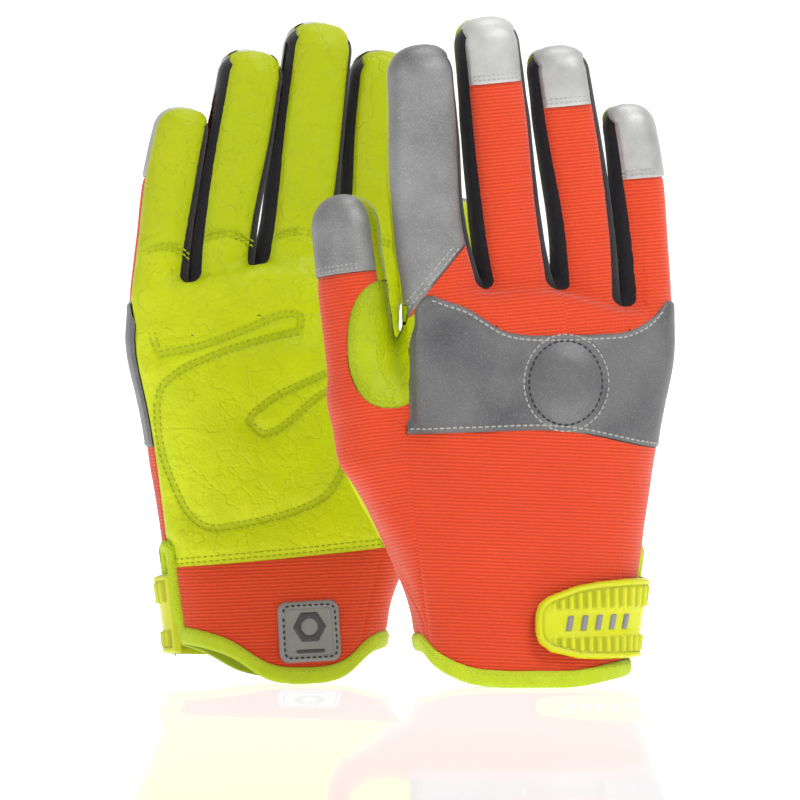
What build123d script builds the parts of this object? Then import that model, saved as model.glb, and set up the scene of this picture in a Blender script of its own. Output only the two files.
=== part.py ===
"""A pair of padded work gloves, standing upright on their hems, one showing its back and one its palm.

Both are right-hand gloves. Each glove is modelled once in its own frame: x runs from the thumb side (-)
to the little finger (+), y from the back of the hand (-) to the palm (+), and z from the hem to the
fingertips. The finished panels are then turned and moved to their places in the pair.
Every panel is a shell of constant wall, split from a lofted hand shape along the real seam lines.
All lengths are in millimetres.
"""

import math
import os

from build123d import *

# ---------------------------------------------------------------- driving dimensions
WALL = 2.0  # leather or stretch fabric with its lining
JOINT_GAP = 0.5  # between the hand and a finger that bends
YAW = 14.0  # each glove is turned this far about its own upright axis
FRONT_AT = (45.25, -55.0)
REAR_AT = (-45.25, 55.0)
FRONT_LEAN = {"index": -6.0, "middle": -5.4, "ring": -5.3, "pinky": -4.6}
REAR_LEAN = {"index": -6.8, "middle": -6.2, "ring": -6.9, "pinky": -7.3}

# the hand: height, centre x, width, depth
HAND = (
    (-4, 0.0, 76, 49),
    (12, 0.0, 76, 49),
    (35, 2.0, 78, 46),
    (60, 2.5, 84, 44),
    (92, 3.0, 92, 41),
    (122, 4.0, 97, 37),
    (158, 5.5, 96, 28),
)
# the bulge at the root of the thumb: height, centre x, centre y, width, depth
THUMB_ROOT = (
    (14, -20, 3, 30, 34),
    (34, -26, 4, 32, 36),
    (56, -35, 5, 31, 36),
    (76, -43.5, 6.5, 29, 33),
    (101, -54.5, 8.5, 26, 28),
    (112, -57, 9, 25.5, 27),
)
SECTION_ROUND = 0.47  # corner radius of the hand's sections, as a share of their shorter side
REFERENCE_HEIGHT = 148.0  # where the fingers' centre x is given
FINGERS = {
    "index": {"x": -28.4, "base": 148.5, "tip": 234.0, "width": 25.6, "cap": 0},
    "middle": {"x": -2.6, "base": 149.5, "tip": 244.5, "width": 24.2, "cap": 24},
    "ring": {"x": 21.2, "base": 148.5, "tip": 234.0, "width": 22.2, "cap": 22},
    "pinky": {"x": 42.6, "base": 142.5, "tip": 212.5, "width": 19.8, "cap": 27},
}
THUMB = {"at": (-57.0, 8.6, 101.0), "length": 79.0, "width": 24.0, "cap": 29}
FINGER_TAPER = 0.95  # radius where the tip starts, as a share of the root's
TIP_CURVE = (0.74, 0.33)  # a point of the rounded tip: out from the axis and down from the top, in radii
SEAM_TURN = 37  # keeps the revolved finger's own seam away from the panel edges
STRIP_START = 0.2  # where the side strips' cut begins, as a share of the finger's width from its axis
THUMB_TURN = (-5.0, -5.6, -49.0)  # tilt to the palm, lean outwards, roll of the thumbnail side
SIDE_STRIP = (6.5, 2.6)  # half width of the side strips between the fingers, at their root and top
SIDE_STRIP_END = 12.0  # they stop this far short of the fingertip
WEB = {"width": 3.2, "height": 6.0, "below": 2.6}  # the strips' joined bottoms, a little under the fingers
THUMB_SIDE = -44.6  # the hand makes room for the thumb out from this x

SEAM_SLOPE, SEAM_Y = 7.0, -1.7  # the seam between back and palm, seen from above
PALM_EDGE = ((-60, 53.0), (0, 46.6), (60, 41.5))  # lower edge of the palm leather, as x and z
SADDLE = {"x": -36.0, "z": 124.0, "height": 42.0}  # the panel between thumb and index, out from x
BINDING = 6.2  # height of the hem's edge binding
BINDING_PROUD = 0.9
# lower edge of the hem, as x and z, on the back and on the palm side with its pull tongue
BACK_HEM = (
    (-60, 14.0),
    (-40, 11.0),
    (-34, 5.5),
    (-27, 2.0),
    (-14, -0.3),
    (-2, -0.6),
    (14, 0.3),
    (30, 3.2),
    (45, 6.0),
    (60, 7.5),
)
PALM_HEM = (
    (-60, 13.5),
    (-42, 13.8),
    (-31, 11.5),
    (-20, 3.0),
    (-4, -1.6),
    (8, 1.2),
    (24, 10.4),
    (42, 15.5),
    (60, 16.0),
)
SLIT_WIDTH, SLIT_TOP = 4.4, 51.0  # the wrist slit on the little finger side
SLIT_Y = 3.6
SLIT_X = (25.0, 95.0)  # the cut's run, from inside the wrist to outside it
SLIT_START = -10.0

BAND_PROUD = 0.9
BAND_TOP = ((-60, 141), (-40, 141), (-24, 136), (-8, 128.5), (20, 127), (36, 129), (50, 138), (60, 143))
BAND_BOTTOM = ((-60, 91.5), (-20, 93), (20, 92), (60, 86))
KNUCKLE_PAD = {"x": 14.5, "z": 110.4, "radius": 13.4, "thick": 2.2}
BADGE = {"x": -6.2, "z": 20.4, "side": 22.6, "corner": 3.5, "thick": 1.6}
PAD_THICK = 2.6
HEEL_PAD = ((36, 62), (38, 92), (30, 104), (-22, 116), (-30, 100), (-24, 78), (4, 64))  # outlines as x and z
UPPER_PAD = ((40, 112), (41, 129), (30, 132), (-12, 136), (-16, 122), (30, 110))
PAD_CORNER = 4.0

TAB_CLEAR = 2.0  # from the wrist fabric to the underside of the closure tab
TAB_THICK = 2.2
TAB = (
    (60, 41.0),
    (32, 39.8),
    (13, 37.2),
    (1.5, 33.0),
    (-2.6, 28.5),
    (-2.6, 18.0),
    (2.0, 13.0),
    (14, 10.4),
    (60, 11.5),
)  # its outline as x and z
TAB_ROOT_Y = 7.0  # the tab is sewn down from here towards the palm
TAB_CORNER = 3.0
HOOK = {"x": 18.0, "z": 24.0, "width": 24.0, "height": 14.0, "thick": 0.8}
LOOP = {"x": 17.0, "z": 24.5, "width": 30.0, "height": 18.0, "thick": 0.8}
PATCH_CORNER = 2.0
BIG = 200.0  # larger than the glove, for cutting tools
CRUMB = 5.0  # a volume below this is an offcut, not a piece


# ---------------------------------------------------------------- basic shapes
def oval(plane, width, depth):
    """A rounded section with its ends nearly round."""
    return plane * RectangleRounded(width, depth, SECTION_ROUND * min(width, depth))


def hand_form(extra=0.0):
    """The outside of the hand, grown by extra all round."""
    sections = [oval(Plane((x, 0, z)), w + 2 * extra, d + 2 * extra) for z, x, w, d in HAND]
    root = [oval(Plane((x, y, z)), w + 2 * extra, d + 2 * extra) for z, x, y, w, d in THUMB_ROOT]
    return loft(sections) + loft(root)


def finger_form(length, width, extra=0.0):
    """A finger standing on the xy plane, with a rounded tip, grown by extra."""
    r, top = width / 2 + extra, length + extra
    shoulder = (FINGER_TAPER * r, top - r)
    side = Line((r, 0), shoulder)
    tip = Spline([shoulder, (TIP_CURVE[0] * r, top - TIP_CURVE[1] * r), (0, top)], tangents=[(0, 1), (-1, 0)])
    profile = make_face([Line((0, 0), (r, 0)), side, tip, Line((0, top), (0, 0))])
    return Rot(0, 0, SEAM_TURN) * revolve(Plane.XZ * profile, Axis.Z)


def below(edge, drop=BIG):
    """Everything under an edge drawn through points in the xz plane, right through the glove."""
    corners = [edge[-1], (edge[-1][0], -drop), (edge[0][0], -drop), edge[0]]
    outline = make_face([Spline(list(edge)), Polyline(corners)])
    return extrude(Plane.XZ * outline, BIG, both=True)


def half(angle, y, side):
    """The half space on one side of the seam plane between back and palm; side +1 is the palm."""
    box = Box(2 * BIG, BIG, 2 * BIG)
    return Rot(0, 0, angle) * Pos(0, y + side * BIG / 2, 0) * box


def strip_of(width, height, corner, x, z):
    """A rounded rectangle seen from the front, run through the glove."""
    face = Plane.XZ * (Pos(x, z) * RectangleRounded(width, height, corner))
    return extrude(face, BIG, both=True)


# ---------------------------------------------------------------- fingers
def finger_place(name, lean):
    """Where a finger's root sits in the glove, and its lean."""
    f = FINGERS[name]
    x = f["x"] + math.tan(math.radians(lean)) * (f["base"] - REFERENCE_HEIGHT)
    return Pos(x, 0, f["base"]) * Rot(0, lean, 0)


def thumb_place():
    """Where the thumb's root sits, its tilt and its roll."""
    return Pos(*THUMB["at"]) * Rot(*THUMB_TURN)


def side_strips(shell, length, width, sides):
    """The strips between front and back of a finger, on the sides asked for, and what is left."""
    low, high = SIDE_STRIP
    end = length - SIDE_STRIP_END
    outline = Polyline([(-low, -1), (low, -1), (high, end), (-high, end)], close=True)
    strips = []
    for side in sides:
        wedge = Pos(side * STRIP_START * width, 0, 0) * extrude(Plane.YZ * make_face(outline), side * width)
        strips.append(shell & wedge)
        shell = shell - wedge
    return strips, shell


def finger_panels(length, width, cap, sides):
    """A hollow finger as its separate panels, standing on the xy plane."""
    shell = finger_form(length, width) - finger_form(length, width, -WALL)
    strips, shell = side_strips(shell, length, width, sides)
    back = shell & half(0, 0, -1)
    panels = {"leather": shell & half(0, 0, 1)}
    if cap:
        cut = Pos(0, 0, length - cap + BIG / 2) * Box(BIG, BIG, BIG)
        panels["tip_cap"] = back & cut
        back = back - cut
    panels["back"] = back
    if strips:
        panels["fourchette" if len(strips) == 1 else "fourchettes"] = Compound(strips)
    return panels


def all_fingers(leans):
    """Every finger's and the thumb's panels, in place in the glove."""
    parts = {}
    strips_on = {"index": (1,), "middle": (-1, 1), "ring": (-1, 1), "pinky": (-1,)}
    for name, f in FINGERS.items():
        length = (f["tip"] - f["base"]) / math.cos(math.radians(leans[name]))
        panels = finger_panels(length, f["width"], f["cap"], strips_on[name])
        place = finger_place(name, leans[name])
        parts.update({f"{name}_{panel}": place * shape for panel, shape in panels.items()})
    panels = finger_panels(THUMB["length"], THUMB["width"], THUMB["cap"], ())
    parts.update({f"thumb_{panel}": thumb_place() * shape for panel, shape in panels.items()})
    return parts


# ---------------------------------------------------------------- the hand
def finger_room(leans):
    """What the hand leaves free for the fingers and the thumb to stand on and bend over."""
    names = list(FINGERS)
    edges = [-BIG]
    for a, b in zip(names, names[1:]):
        right = FINGERS[a]["x"] + FINGERS[a]["width"] / 2
        left = FINGERS[b]["x"] - FINGERS[b]["width"] / 2
        edges.append((left + right) / 2)
    edges.append(BIG)
    room = []
    for name, low, high in zip(names, edges, edges[1:]):
        slab = Pos((low + high) / 2, 0, 0) * Box(high - low, BIG, BIG * 2)
        above = finger_place(name, leans[name]) * Pos(0, 0, BIG / 2 - JOINT_GAP) * Box(3 * BIG, BIG, BIG)
        above = above & (Pos(0, 0, BIG) * Box(4 * BIG, BIG, BIG * 1.6))
        room.append(slab & above)
    over_thumb = thumb_place() * Pos(0, 0, BIG / 2 - JOINT_GAP) * Box(BIG, BIG, BIG)
    beside_palm = Pos(THUMB_SIDE - BIG / 2, 0, BIG / 2) * Box(BIG, BIG, BIG)
    room.append(over_thumb & beside_palm)
    return room


def finger_webs(inside, leans):
    """The bottoms of the side strips, which join one finger to the next."""
    names = list(FINGERS)
    webs = []
    for a, b in zip(names, names[1:]):
        x = (FINGERS[a]["x"] + FINGERS[b]["x"]) / 2 + (FINGERS[a]["width"] - FINGERS[b]["width"]) / 4
        top = min(FINGERS[a]["base"], FINGERS[b]["base"]) - WEB["below"]
        block = Pos(x, 0, top - WEB["height"] / 2) * Box(WEB["width"], BIG, WEB["height"])
        webs.append(block & inside)
    return Compound(webs)


def wrist_slit():
    """The slit that lets the wrist open, on the little finger side."""
    middle_x, middle_z = sum(SLIT_X) / 2, (SLIT_TOP + SLIT_START) / 2
    return Pos(middle_x, SLIT_Y, middle_z) * Box(SLIT_X[1] - SLIT_X[0], SLIT_WIDTH, SLIT_TOP - SLIT_START)


def edge_binding(slit):
    """The bound edge: a band round the hem and a narrow one round the slit."""
    ring = hand_form(BINDING_PROUD) - hand_form(-WALL)
    seam = [half(SEAM_SLOPE, SEAM_Y, side) for side in (-1, 1)]
    hem = []
    for edge, side in ((BACK_HEM, seam[0]), (PALM_HEM, seam[1])):
        raised = [(x, z + BINDING) for x, z in edge]
        hem.append((ring & side & below(raised)) - below(edge))
    floor = Pos(0, 0, -BIG / 2) * Box(2 * BIG, 2 * BIG, BIG)
    return (hem[0] + hem[1]) - slit - floor


def closure_tab():
    """The moulded tab that wraps from the palm side of the slit to the back of the wrist."""
    sheet = hand_form(TAB_CLEAR + TAB_THICK) - hand_form(TAB_CLEAR)
    outline = make_face(Plane.XZ * Polyline(list(TAB), close=True))
    corners = [v for v in outline.vertices() if v.X < TAB[0][0] - TAB_CORNER]
    outline = fillet(corners, TAB_CORNER)
    tool = Pos(0, -BIG / 2 + TAB_ROOT_Y, 0) * extrude(outline, BIG / 2, both=True)
    return sheet & tool


def on_back(item, start):
    """A patch of the given size that follows the back of the wrist, from start outwards."""
    sheet = hand_form(start + item["thick"]) - hand_form(start)
    tool = strip_of(item["width"], item["height"], PATCH_CORNER, item["x"], item["z"])
    return sheet & tool & half(0, 0, -1)


def palm_pads(inside):
    """The foam under the palm leather, lying against its inner face: heel, bar and finger roots."""
    lining = inside - hand_form(-WALL - PAD_THICK)
    pads = []
    for corners in (HEEL_PAD, UPPER_PAD):
        outline = make_face(Plane.XZ * Polyline(list(corners), close=True))
        tool = extrude(fillet(outline.vertices(), PAD_CORNER), BIG, both=True)
        pads.append(lining & tool & half(0, 0, 1))
    return pads


def knuckle_pad():
    """The round foam pad under the reflective band."""
    sheet = hand_form(BAND_PROUD + KNUCKLE_PAD["thick"]) - hand_form(BAND_PROUD)
    face = Plane.XZ * (Pos(KNUCKLE_PAD["x"], KNUCKLE_PAD["z"]) * Circle(KNUCKLE_PAD["radius"]))
    return sheet & extrude(face, BIG, both=True) & half(0, 0, -1)


def hand_panels(leans):
    """The hand's panels, bindings, pads and patches, and the closure tab."""
    outside, inside = hand_form(), hand_form(-WALL)
    shell = outside - inside
    room = finger_room(leans)
    slit = wrist_slit()
    for tool in room:
        shell = shell - tool
    shell = shell - slit
    back_side, palm_side = half(SEAM_SLOPE, SEAM_Y, -1), half(SEAM_SLOPE, SEAM_Y, 1)
    back = (shell & back_side) - below([(x, z + BINDING) for x, z in BACK_HEM])
    palm = (shell & palm_side) - below([(x, z + BINDING) for x, z in PALM_HEM])
    low = below(PALM_EDGE)
    cuff, leather = palm & low, palm - low
    saddle_tool = Pos(SADDLE["x"] - BIG / 2, 0, SADDLE["z"]) * Box(BIG, BIG, SADDLE["height"])
    saddle, leather = leather & saddle_tool, leather - saddle_tool
    band = hand_form(BAND_PROUD) - outside
    band = (band & half(SEAM_SLOPE, SEAM_Y, -1) & below(BAND_TOP)) - below(BAND_BOTTOM)
    for tool in room:
        band = band - tool
    badge = hand_form(BADGE["thick"]) - outside
    badge = badge & strip_of(BADGE["side"], BADGE["side"], BADGE["corner"], BADGE["x"], BADGE["z"])
    return {
        "back_panel": back,
        "knuckle_band": band,
        "foam_pads": Compound([knuckle_pad(), *palm_pads(inside)]),
        "palm_leather": leather,
        "thumb_saddle": saddle,
        "cuff_panel": cuff,
        "edge_binding": edge_binding(slit),
        "cuff_badge": badge & palm_side,
        "loop_patch": on_back(LOOP, 0.0),
        "finger_webs": finger_webs(inside, leans),
        "strap_tab": closure_tab(),
        "hook_patch": on_back(HOOK, TAB_CLEAR - HOOK["thick"]),
    }


def glove(leans):
    """Every piece of one glove, in the glove's own frame."""
    return {**hand_panels(leans), **all_fingers(leans)}


def main():
    os.makedirs("parts", exist_ok=True)
    places = {
        "front": (Pos(*FRONT_AT, 0) * Rot(0, 0, YAW), FRONT_LEAN),
        "rear": (Pos(*REAR_AT, 0) * Rot(0, 0, YAW + 180), REAR_LEAN),
    }
    for which, (place, leans) in places.items():
        for name, shape in glove(leans).items():
            solids = [place * s for s in shape.solids() if s.volume > CRUMB]
            export_step(Compound(solids), f"parts/{which}_{name}.step")


if __name__ == "__main__":
    main()
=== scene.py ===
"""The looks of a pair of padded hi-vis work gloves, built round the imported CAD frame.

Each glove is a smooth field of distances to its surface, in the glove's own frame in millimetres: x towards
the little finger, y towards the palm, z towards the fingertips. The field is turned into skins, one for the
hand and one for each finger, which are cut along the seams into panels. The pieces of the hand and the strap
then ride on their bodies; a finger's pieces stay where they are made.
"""

import math

import bpy
import numpy as np
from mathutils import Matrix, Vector


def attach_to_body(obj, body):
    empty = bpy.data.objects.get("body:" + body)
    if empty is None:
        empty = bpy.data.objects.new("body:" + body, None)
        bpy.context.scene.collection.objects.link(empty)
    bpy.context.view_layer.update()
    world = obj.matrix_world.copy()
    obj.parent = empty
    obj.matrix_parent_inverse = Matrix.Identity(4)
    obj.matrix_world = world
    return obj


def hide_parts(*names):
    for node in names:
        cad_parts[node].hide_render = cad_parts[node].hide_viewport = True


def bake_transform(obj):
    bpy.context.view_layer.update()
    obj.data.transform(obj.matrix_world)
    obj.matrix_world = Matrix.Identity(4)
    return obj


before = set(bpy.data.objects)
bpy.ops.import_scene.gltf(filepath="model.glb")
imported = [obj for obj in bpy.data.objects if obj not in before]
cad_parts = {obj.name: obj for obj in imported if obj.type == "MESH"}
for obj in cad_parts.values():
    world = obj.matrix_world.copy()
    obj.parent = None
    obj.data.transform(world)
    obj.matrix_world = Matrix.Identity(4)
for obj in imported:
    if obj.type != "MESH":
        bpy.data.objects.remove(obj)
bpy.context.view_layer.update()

# ---------------------------------------------------------------- driving dimensions, in millimetres
MM = 0.001
YAW = math.radians(14.0)
PLACES = {
    "front": {"at": (45.25, -55.0), "yaw": YAW,
              "lean": {"index": -6.0, "middle": -5.4, "ring": -5.3, "pinky": -4.6}},
    "rear": {"at": (-45.25, 55.0), "yaw": YAW + math.pi,
             "lean": {"index": -6.8, "middle": -6.2, "ring": -6.9, "pinky": -7.3}},
}
# height, centre x, width, depth
HAND = np.array([
    (-4, 0.0, 76, 47), (12, 0.0, 76, 47), (35, 2.0, 78, 45), (60, 2.5, 84, 43.5),
    (92, 3.0, 92, 41), (122, 4.0, 97, 37), (158, 5.5, 96, 29),
])
# height, centre x, centre y, width, depth
THUMB_ROOT = np.array([
    (14, -20, 3, 30, 34), (34, -26, 4, 32, 36), (56, -35, 5, 31, 36),
    (76, -43.5, 6.5, 29, 33), (101, -55.0, 8.5, 26, 28), (112, -57.5, 9, 25.5, 27),
])
REFERENCE_HEIGHT = 148.0
FINGERS = {
    "index": {"x": -28.4, "base": 148.5, "tip": 234.0, "width": 25.6, "cap": 0},
    "middle": {"x": -2.6, "base": 149.5, "tip": 244.5, "width": 24.2, "cap": 24},
    "ring": {"x": 21.2, "base": 148.5, "tip": 234.0, "width": 22.2, "cap": 22},
    "pinky": {"x": 42.6, "base": 142.5, "tip": 212.5, "width": 19.8, "cap": 27},
}
NAMES = list(FINGERS)
FULLNESS = {"front": 1.0, "rear": 1.05}  # of the fingers, sideways
# along each finger: how far its middle is from its straight axis, and its half width
BOW = {
    "index": ((-20, -2.2, 13.6), (0, -3.2, 14.2), (11, -4.6, 13.8), (66, -3.2, 12.5), (88, -2.6, 12.0)),
    "middle": ((-20, 0.0, 12.6), (0, -1.2, 13.4), (11, -2.0, 13.5), (66, -3.0, 12.5), (95, -3.4, 12.0)),
    "ring": ((-20, 1.2, 11.8), (0, 1.8, 12.4), (11, 2.1, 12.4), (66, -0.8, 11.9), (88, -2.0, 11.4)),
    "pinky": ((-20, 0.8, 9.9), (0, 1.8, 10.0), (17, 2.4, 9.9), (53, 1.9, 9.8), (72, 0.4, 9.4)),
    "thumb": ((-20, 0.0, 12.0), (79, 0.0, 11.6)),
}
THUMB = {"at": (-57.0, 8.6, 101.0), "length": 79.0, "width": 24.0, "cap": 29}
THUMB_TURN = (-5.0, -5.6, -49.0)
THUMB_START = -6.0  # along the thumb, where its skin begins
THUMB_SIDE = -44.8  # the thumb's skin is left of this
STRIP_LOW, STRIP_HIGH, STRIP_END = 7.6, 5.6, 5.0
STRIP_MIDDLE = {"front": -1.3, "rear": 1.3}  # towards the side that the viewer sees
SEAM_SLOPE, SEAM_Y = math.radians(7.0), -1.7
# lower edge of the hem on the back and on the palm side, as x and height
BACK_HEM = (
    (-60, 14.0), (-40, 11.0), (-34, 5.5), (-27, 2.0), (-14, 0.1), (-2, 0.0), (14, 0.3), (30, 3.2), (45, 6.0),
    (60, 7.5),
)
PALM_HEM = (
    (-60, 13.5), (-42, 13.8), (-31, 11.5), (-20, 3.0), (-4, 0.0), (8, 1.2), (24, 10.4), (42, 15.5),
    (60, 16.0),
)
# the rear glove's back hem is pulled up behind its palm
REAR_BACK_HEM = (
    (-60, 14.0), (-40, 13.0), (-31, 11.0), (-20, 5.0), (-4, 2.0), (8, 4.0), (24, 11.5), (42, 15.5),
    (60, 16.0),
)
# the knuckle band's edges as the viewer sees them, across and height
BAND_TOP = (
    (-70, 135.4), (-46, 135.4), (-41.5, 136.2), (-36.2, 142.4), (-34.4, 142.9), (-30, 141.4), (-19.7, 137.6),
    (-14.2, 134), (-8.75, 130.6), (2.2, 128.3), (13.15, 128.4), (27.75, 128.8), (40, 130.6), (47.8, 135.8),
    (52, 141),
)
BAND_BOTTOM = ((-60, 92.2), (-45, 92.2), (-20, 93), (15, 93.3), (46, 87.5), (60, 86))
PALM_ROOT = ((-60, 134), (20, 134), (38, 128), (60, 126))
PALM_EDGE = ((-60, 53.0), (0, 46.6), (60, 41.5))
BINDING = 6.2
SLIT_Y, SLIT_HALF, SLIT_TOP, SLIT_BINDING = 3.6, 1.4, 49.0, 3.8
# roundness of the cross-sections: 2 is an ellipse, more is closer to a rectangle
HAND_POWER, ROOT_POWER, FINGER_POWER = 2.7, 2.3, 2.35
# over how many millimetres the shapes melt into each other, and where the thumb's root ends
THUMB_JOIN, FINGER_JOIN, ROOT_JOIN = 7.0, 4.0, 10.0
HAND_TOP_EDGE, ROOT_TOP, ROOT_TOP_EDGE = 5.0, 108.0, 8.0
# height of the webs between the fingers, and how much lower they lie on the back than on the palm side
WEBS, WEB_TILT, WEB_DEPTH = ((-50, 149), (-15, 149.5), (9.5, 149.5), (30, 144), (60, 142)), 0.5, 11
FINGER_DEPTH, DEPTH_TAPER = 0.97, 0.04  # front to back: share of the width, and what it loses towards the tip
WAVE, WAVES = 0.015, 11.0  # the slight waves in a finger's width: share, and turns along it in radians
ROUND_TIP, ROUND_THUMB_TIP = 0.9, 1.1  # length of the round tip, as a share of the radius
THUMB_OVER, THUMB_NEAR, INDEX_FROM = 0.5, 2.0, 140  # where the thumb's skin ends beside the index finger's
STEP = 1.15  # size of the skins' mesh
FAR = 9.0  # a distance at which a seam has no effect
VIEW_REACH = 75.0  # rays towards the glove start this far from its middle


# ---------------------------------------------------------------- small maths
def curve(x, points):
    """A smooth curve through points, read at x: cubic pieces with the slopes of their neighbours."""
    table = np.asarray(points, float)
    xs, ys = table[:, 0], table[:, 1]
    slopes = np.gradient(ys, xs)
    x = np.clip(x, xs[0], xs[-1])
    i = np.clip(np.searchsorted(xs, x) - 1, 0, len(xs) - 2)
    gap = xs[i + 1] - xs[i]
    t = (x - xs[i]) / gap
    a = ys[i] * (1 + 2 * t) * (1 - t) ** 2 + gap * slopes[i] * t * (1 - t) ** 2
    return a + ys[i + 1] * t * t * (3 - 2 * t) + gap * slopes[i + 1] * t * t * (t - 1)


def ramp(x, low, high):
    """0 below low, 1 above high, smooth between."""
    t = np.clip((x - low) / (high - low), 0, 1)
    return t * t * (3 - 2 * t)


def join(a, b, k):
    """The union of two fields, rounded over k."""
    h = np.maximum(k - np.abs(a - b), 0) / k
    return np.minimum(a, b) - h * h * k / 4


def trim(a, b, k):
    """The part of field a that is also in field b, rounded over k."""
    return -join(-a, -b, k)


def oval_distance(terms, power):
    """Distance to a superellipse; terms are pairs of coordinate and half size."""
    shares = [np.abs(c) / size for c, size in terms]
    n = np.maximum(sum(s**power for s in shares), 1e-9) ** (1 / power)
    steepness = sum((s ** (power - 1) / size) ** 2 for s, (c, size) in zip(shares, terms))
    slope = np.sqrt(steepness) * n ** (1 - power)
    longest = max(np.max(size) for c, size in terms)
    return (n - 1) / np.maximum(slope, 0.6 / longest)


def noise(p, scale, seed):
    """Smooth random hills of about the given scale, between -1 and 1, the same for the same seed."""
    rng = np.random.default_rng(seed)
    table = rng.uniform(-1, 1, (32, 32, 32))
    q = p / scale + 100.0
    cell = np.floor(q).astype(int)
    t = q - cell
    t = t * t * (3 - 2 * t)
    total = np.zeros(len(p))
    for corner in np.ndindex(2, 2, 2):
        weight = np.ones(len(p))
        for axis in range(3):
            weight = weight * (t[:, axis] if corner[axis] else 1 - t[:, axis])
        i, j, k = ((cell[:, a] + corner[a]) % 32 for a in range(3))
        total += weight * table[i, j, k]
    return total


def turn_matrix(x, y, z):
    """Turns about x, then the new y, then the new z, in degrees."""
    result = np.eye(3)
    for axis, angle in enumerate((x, y, z)):
        c, s = math.cos(math.radians(angle)), math.sin(math.radians(angle))
        m = np.eye(3)
        a, b = (axis + 1) % 3, (axis + 2) % 3
        m[a, a] = m[b, b] = c
        m[a, b], m[b, a] = -s, s
        result = result @ m
    return result


def view_across(p):
    """How far across the glove a point is, as the viewer sees it."""
    return p[:, 0] * math.cos(YAW) - p[:, 1] * math.sin(YAW)


def from_viewer(across, height, side):
    """Starts and heading of rays to places as the viewer sees them, on the back (-1) or the palm (1)."""
    c, s = math.cos(YAW), math.sin(YAW)
    depth = side * VIEW_REACH
    start = np.stack([across * c + depth * s, depth * c - across * s, height], axis=1)
    return start, (-side * s, -side * c, 0.0)


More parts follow.
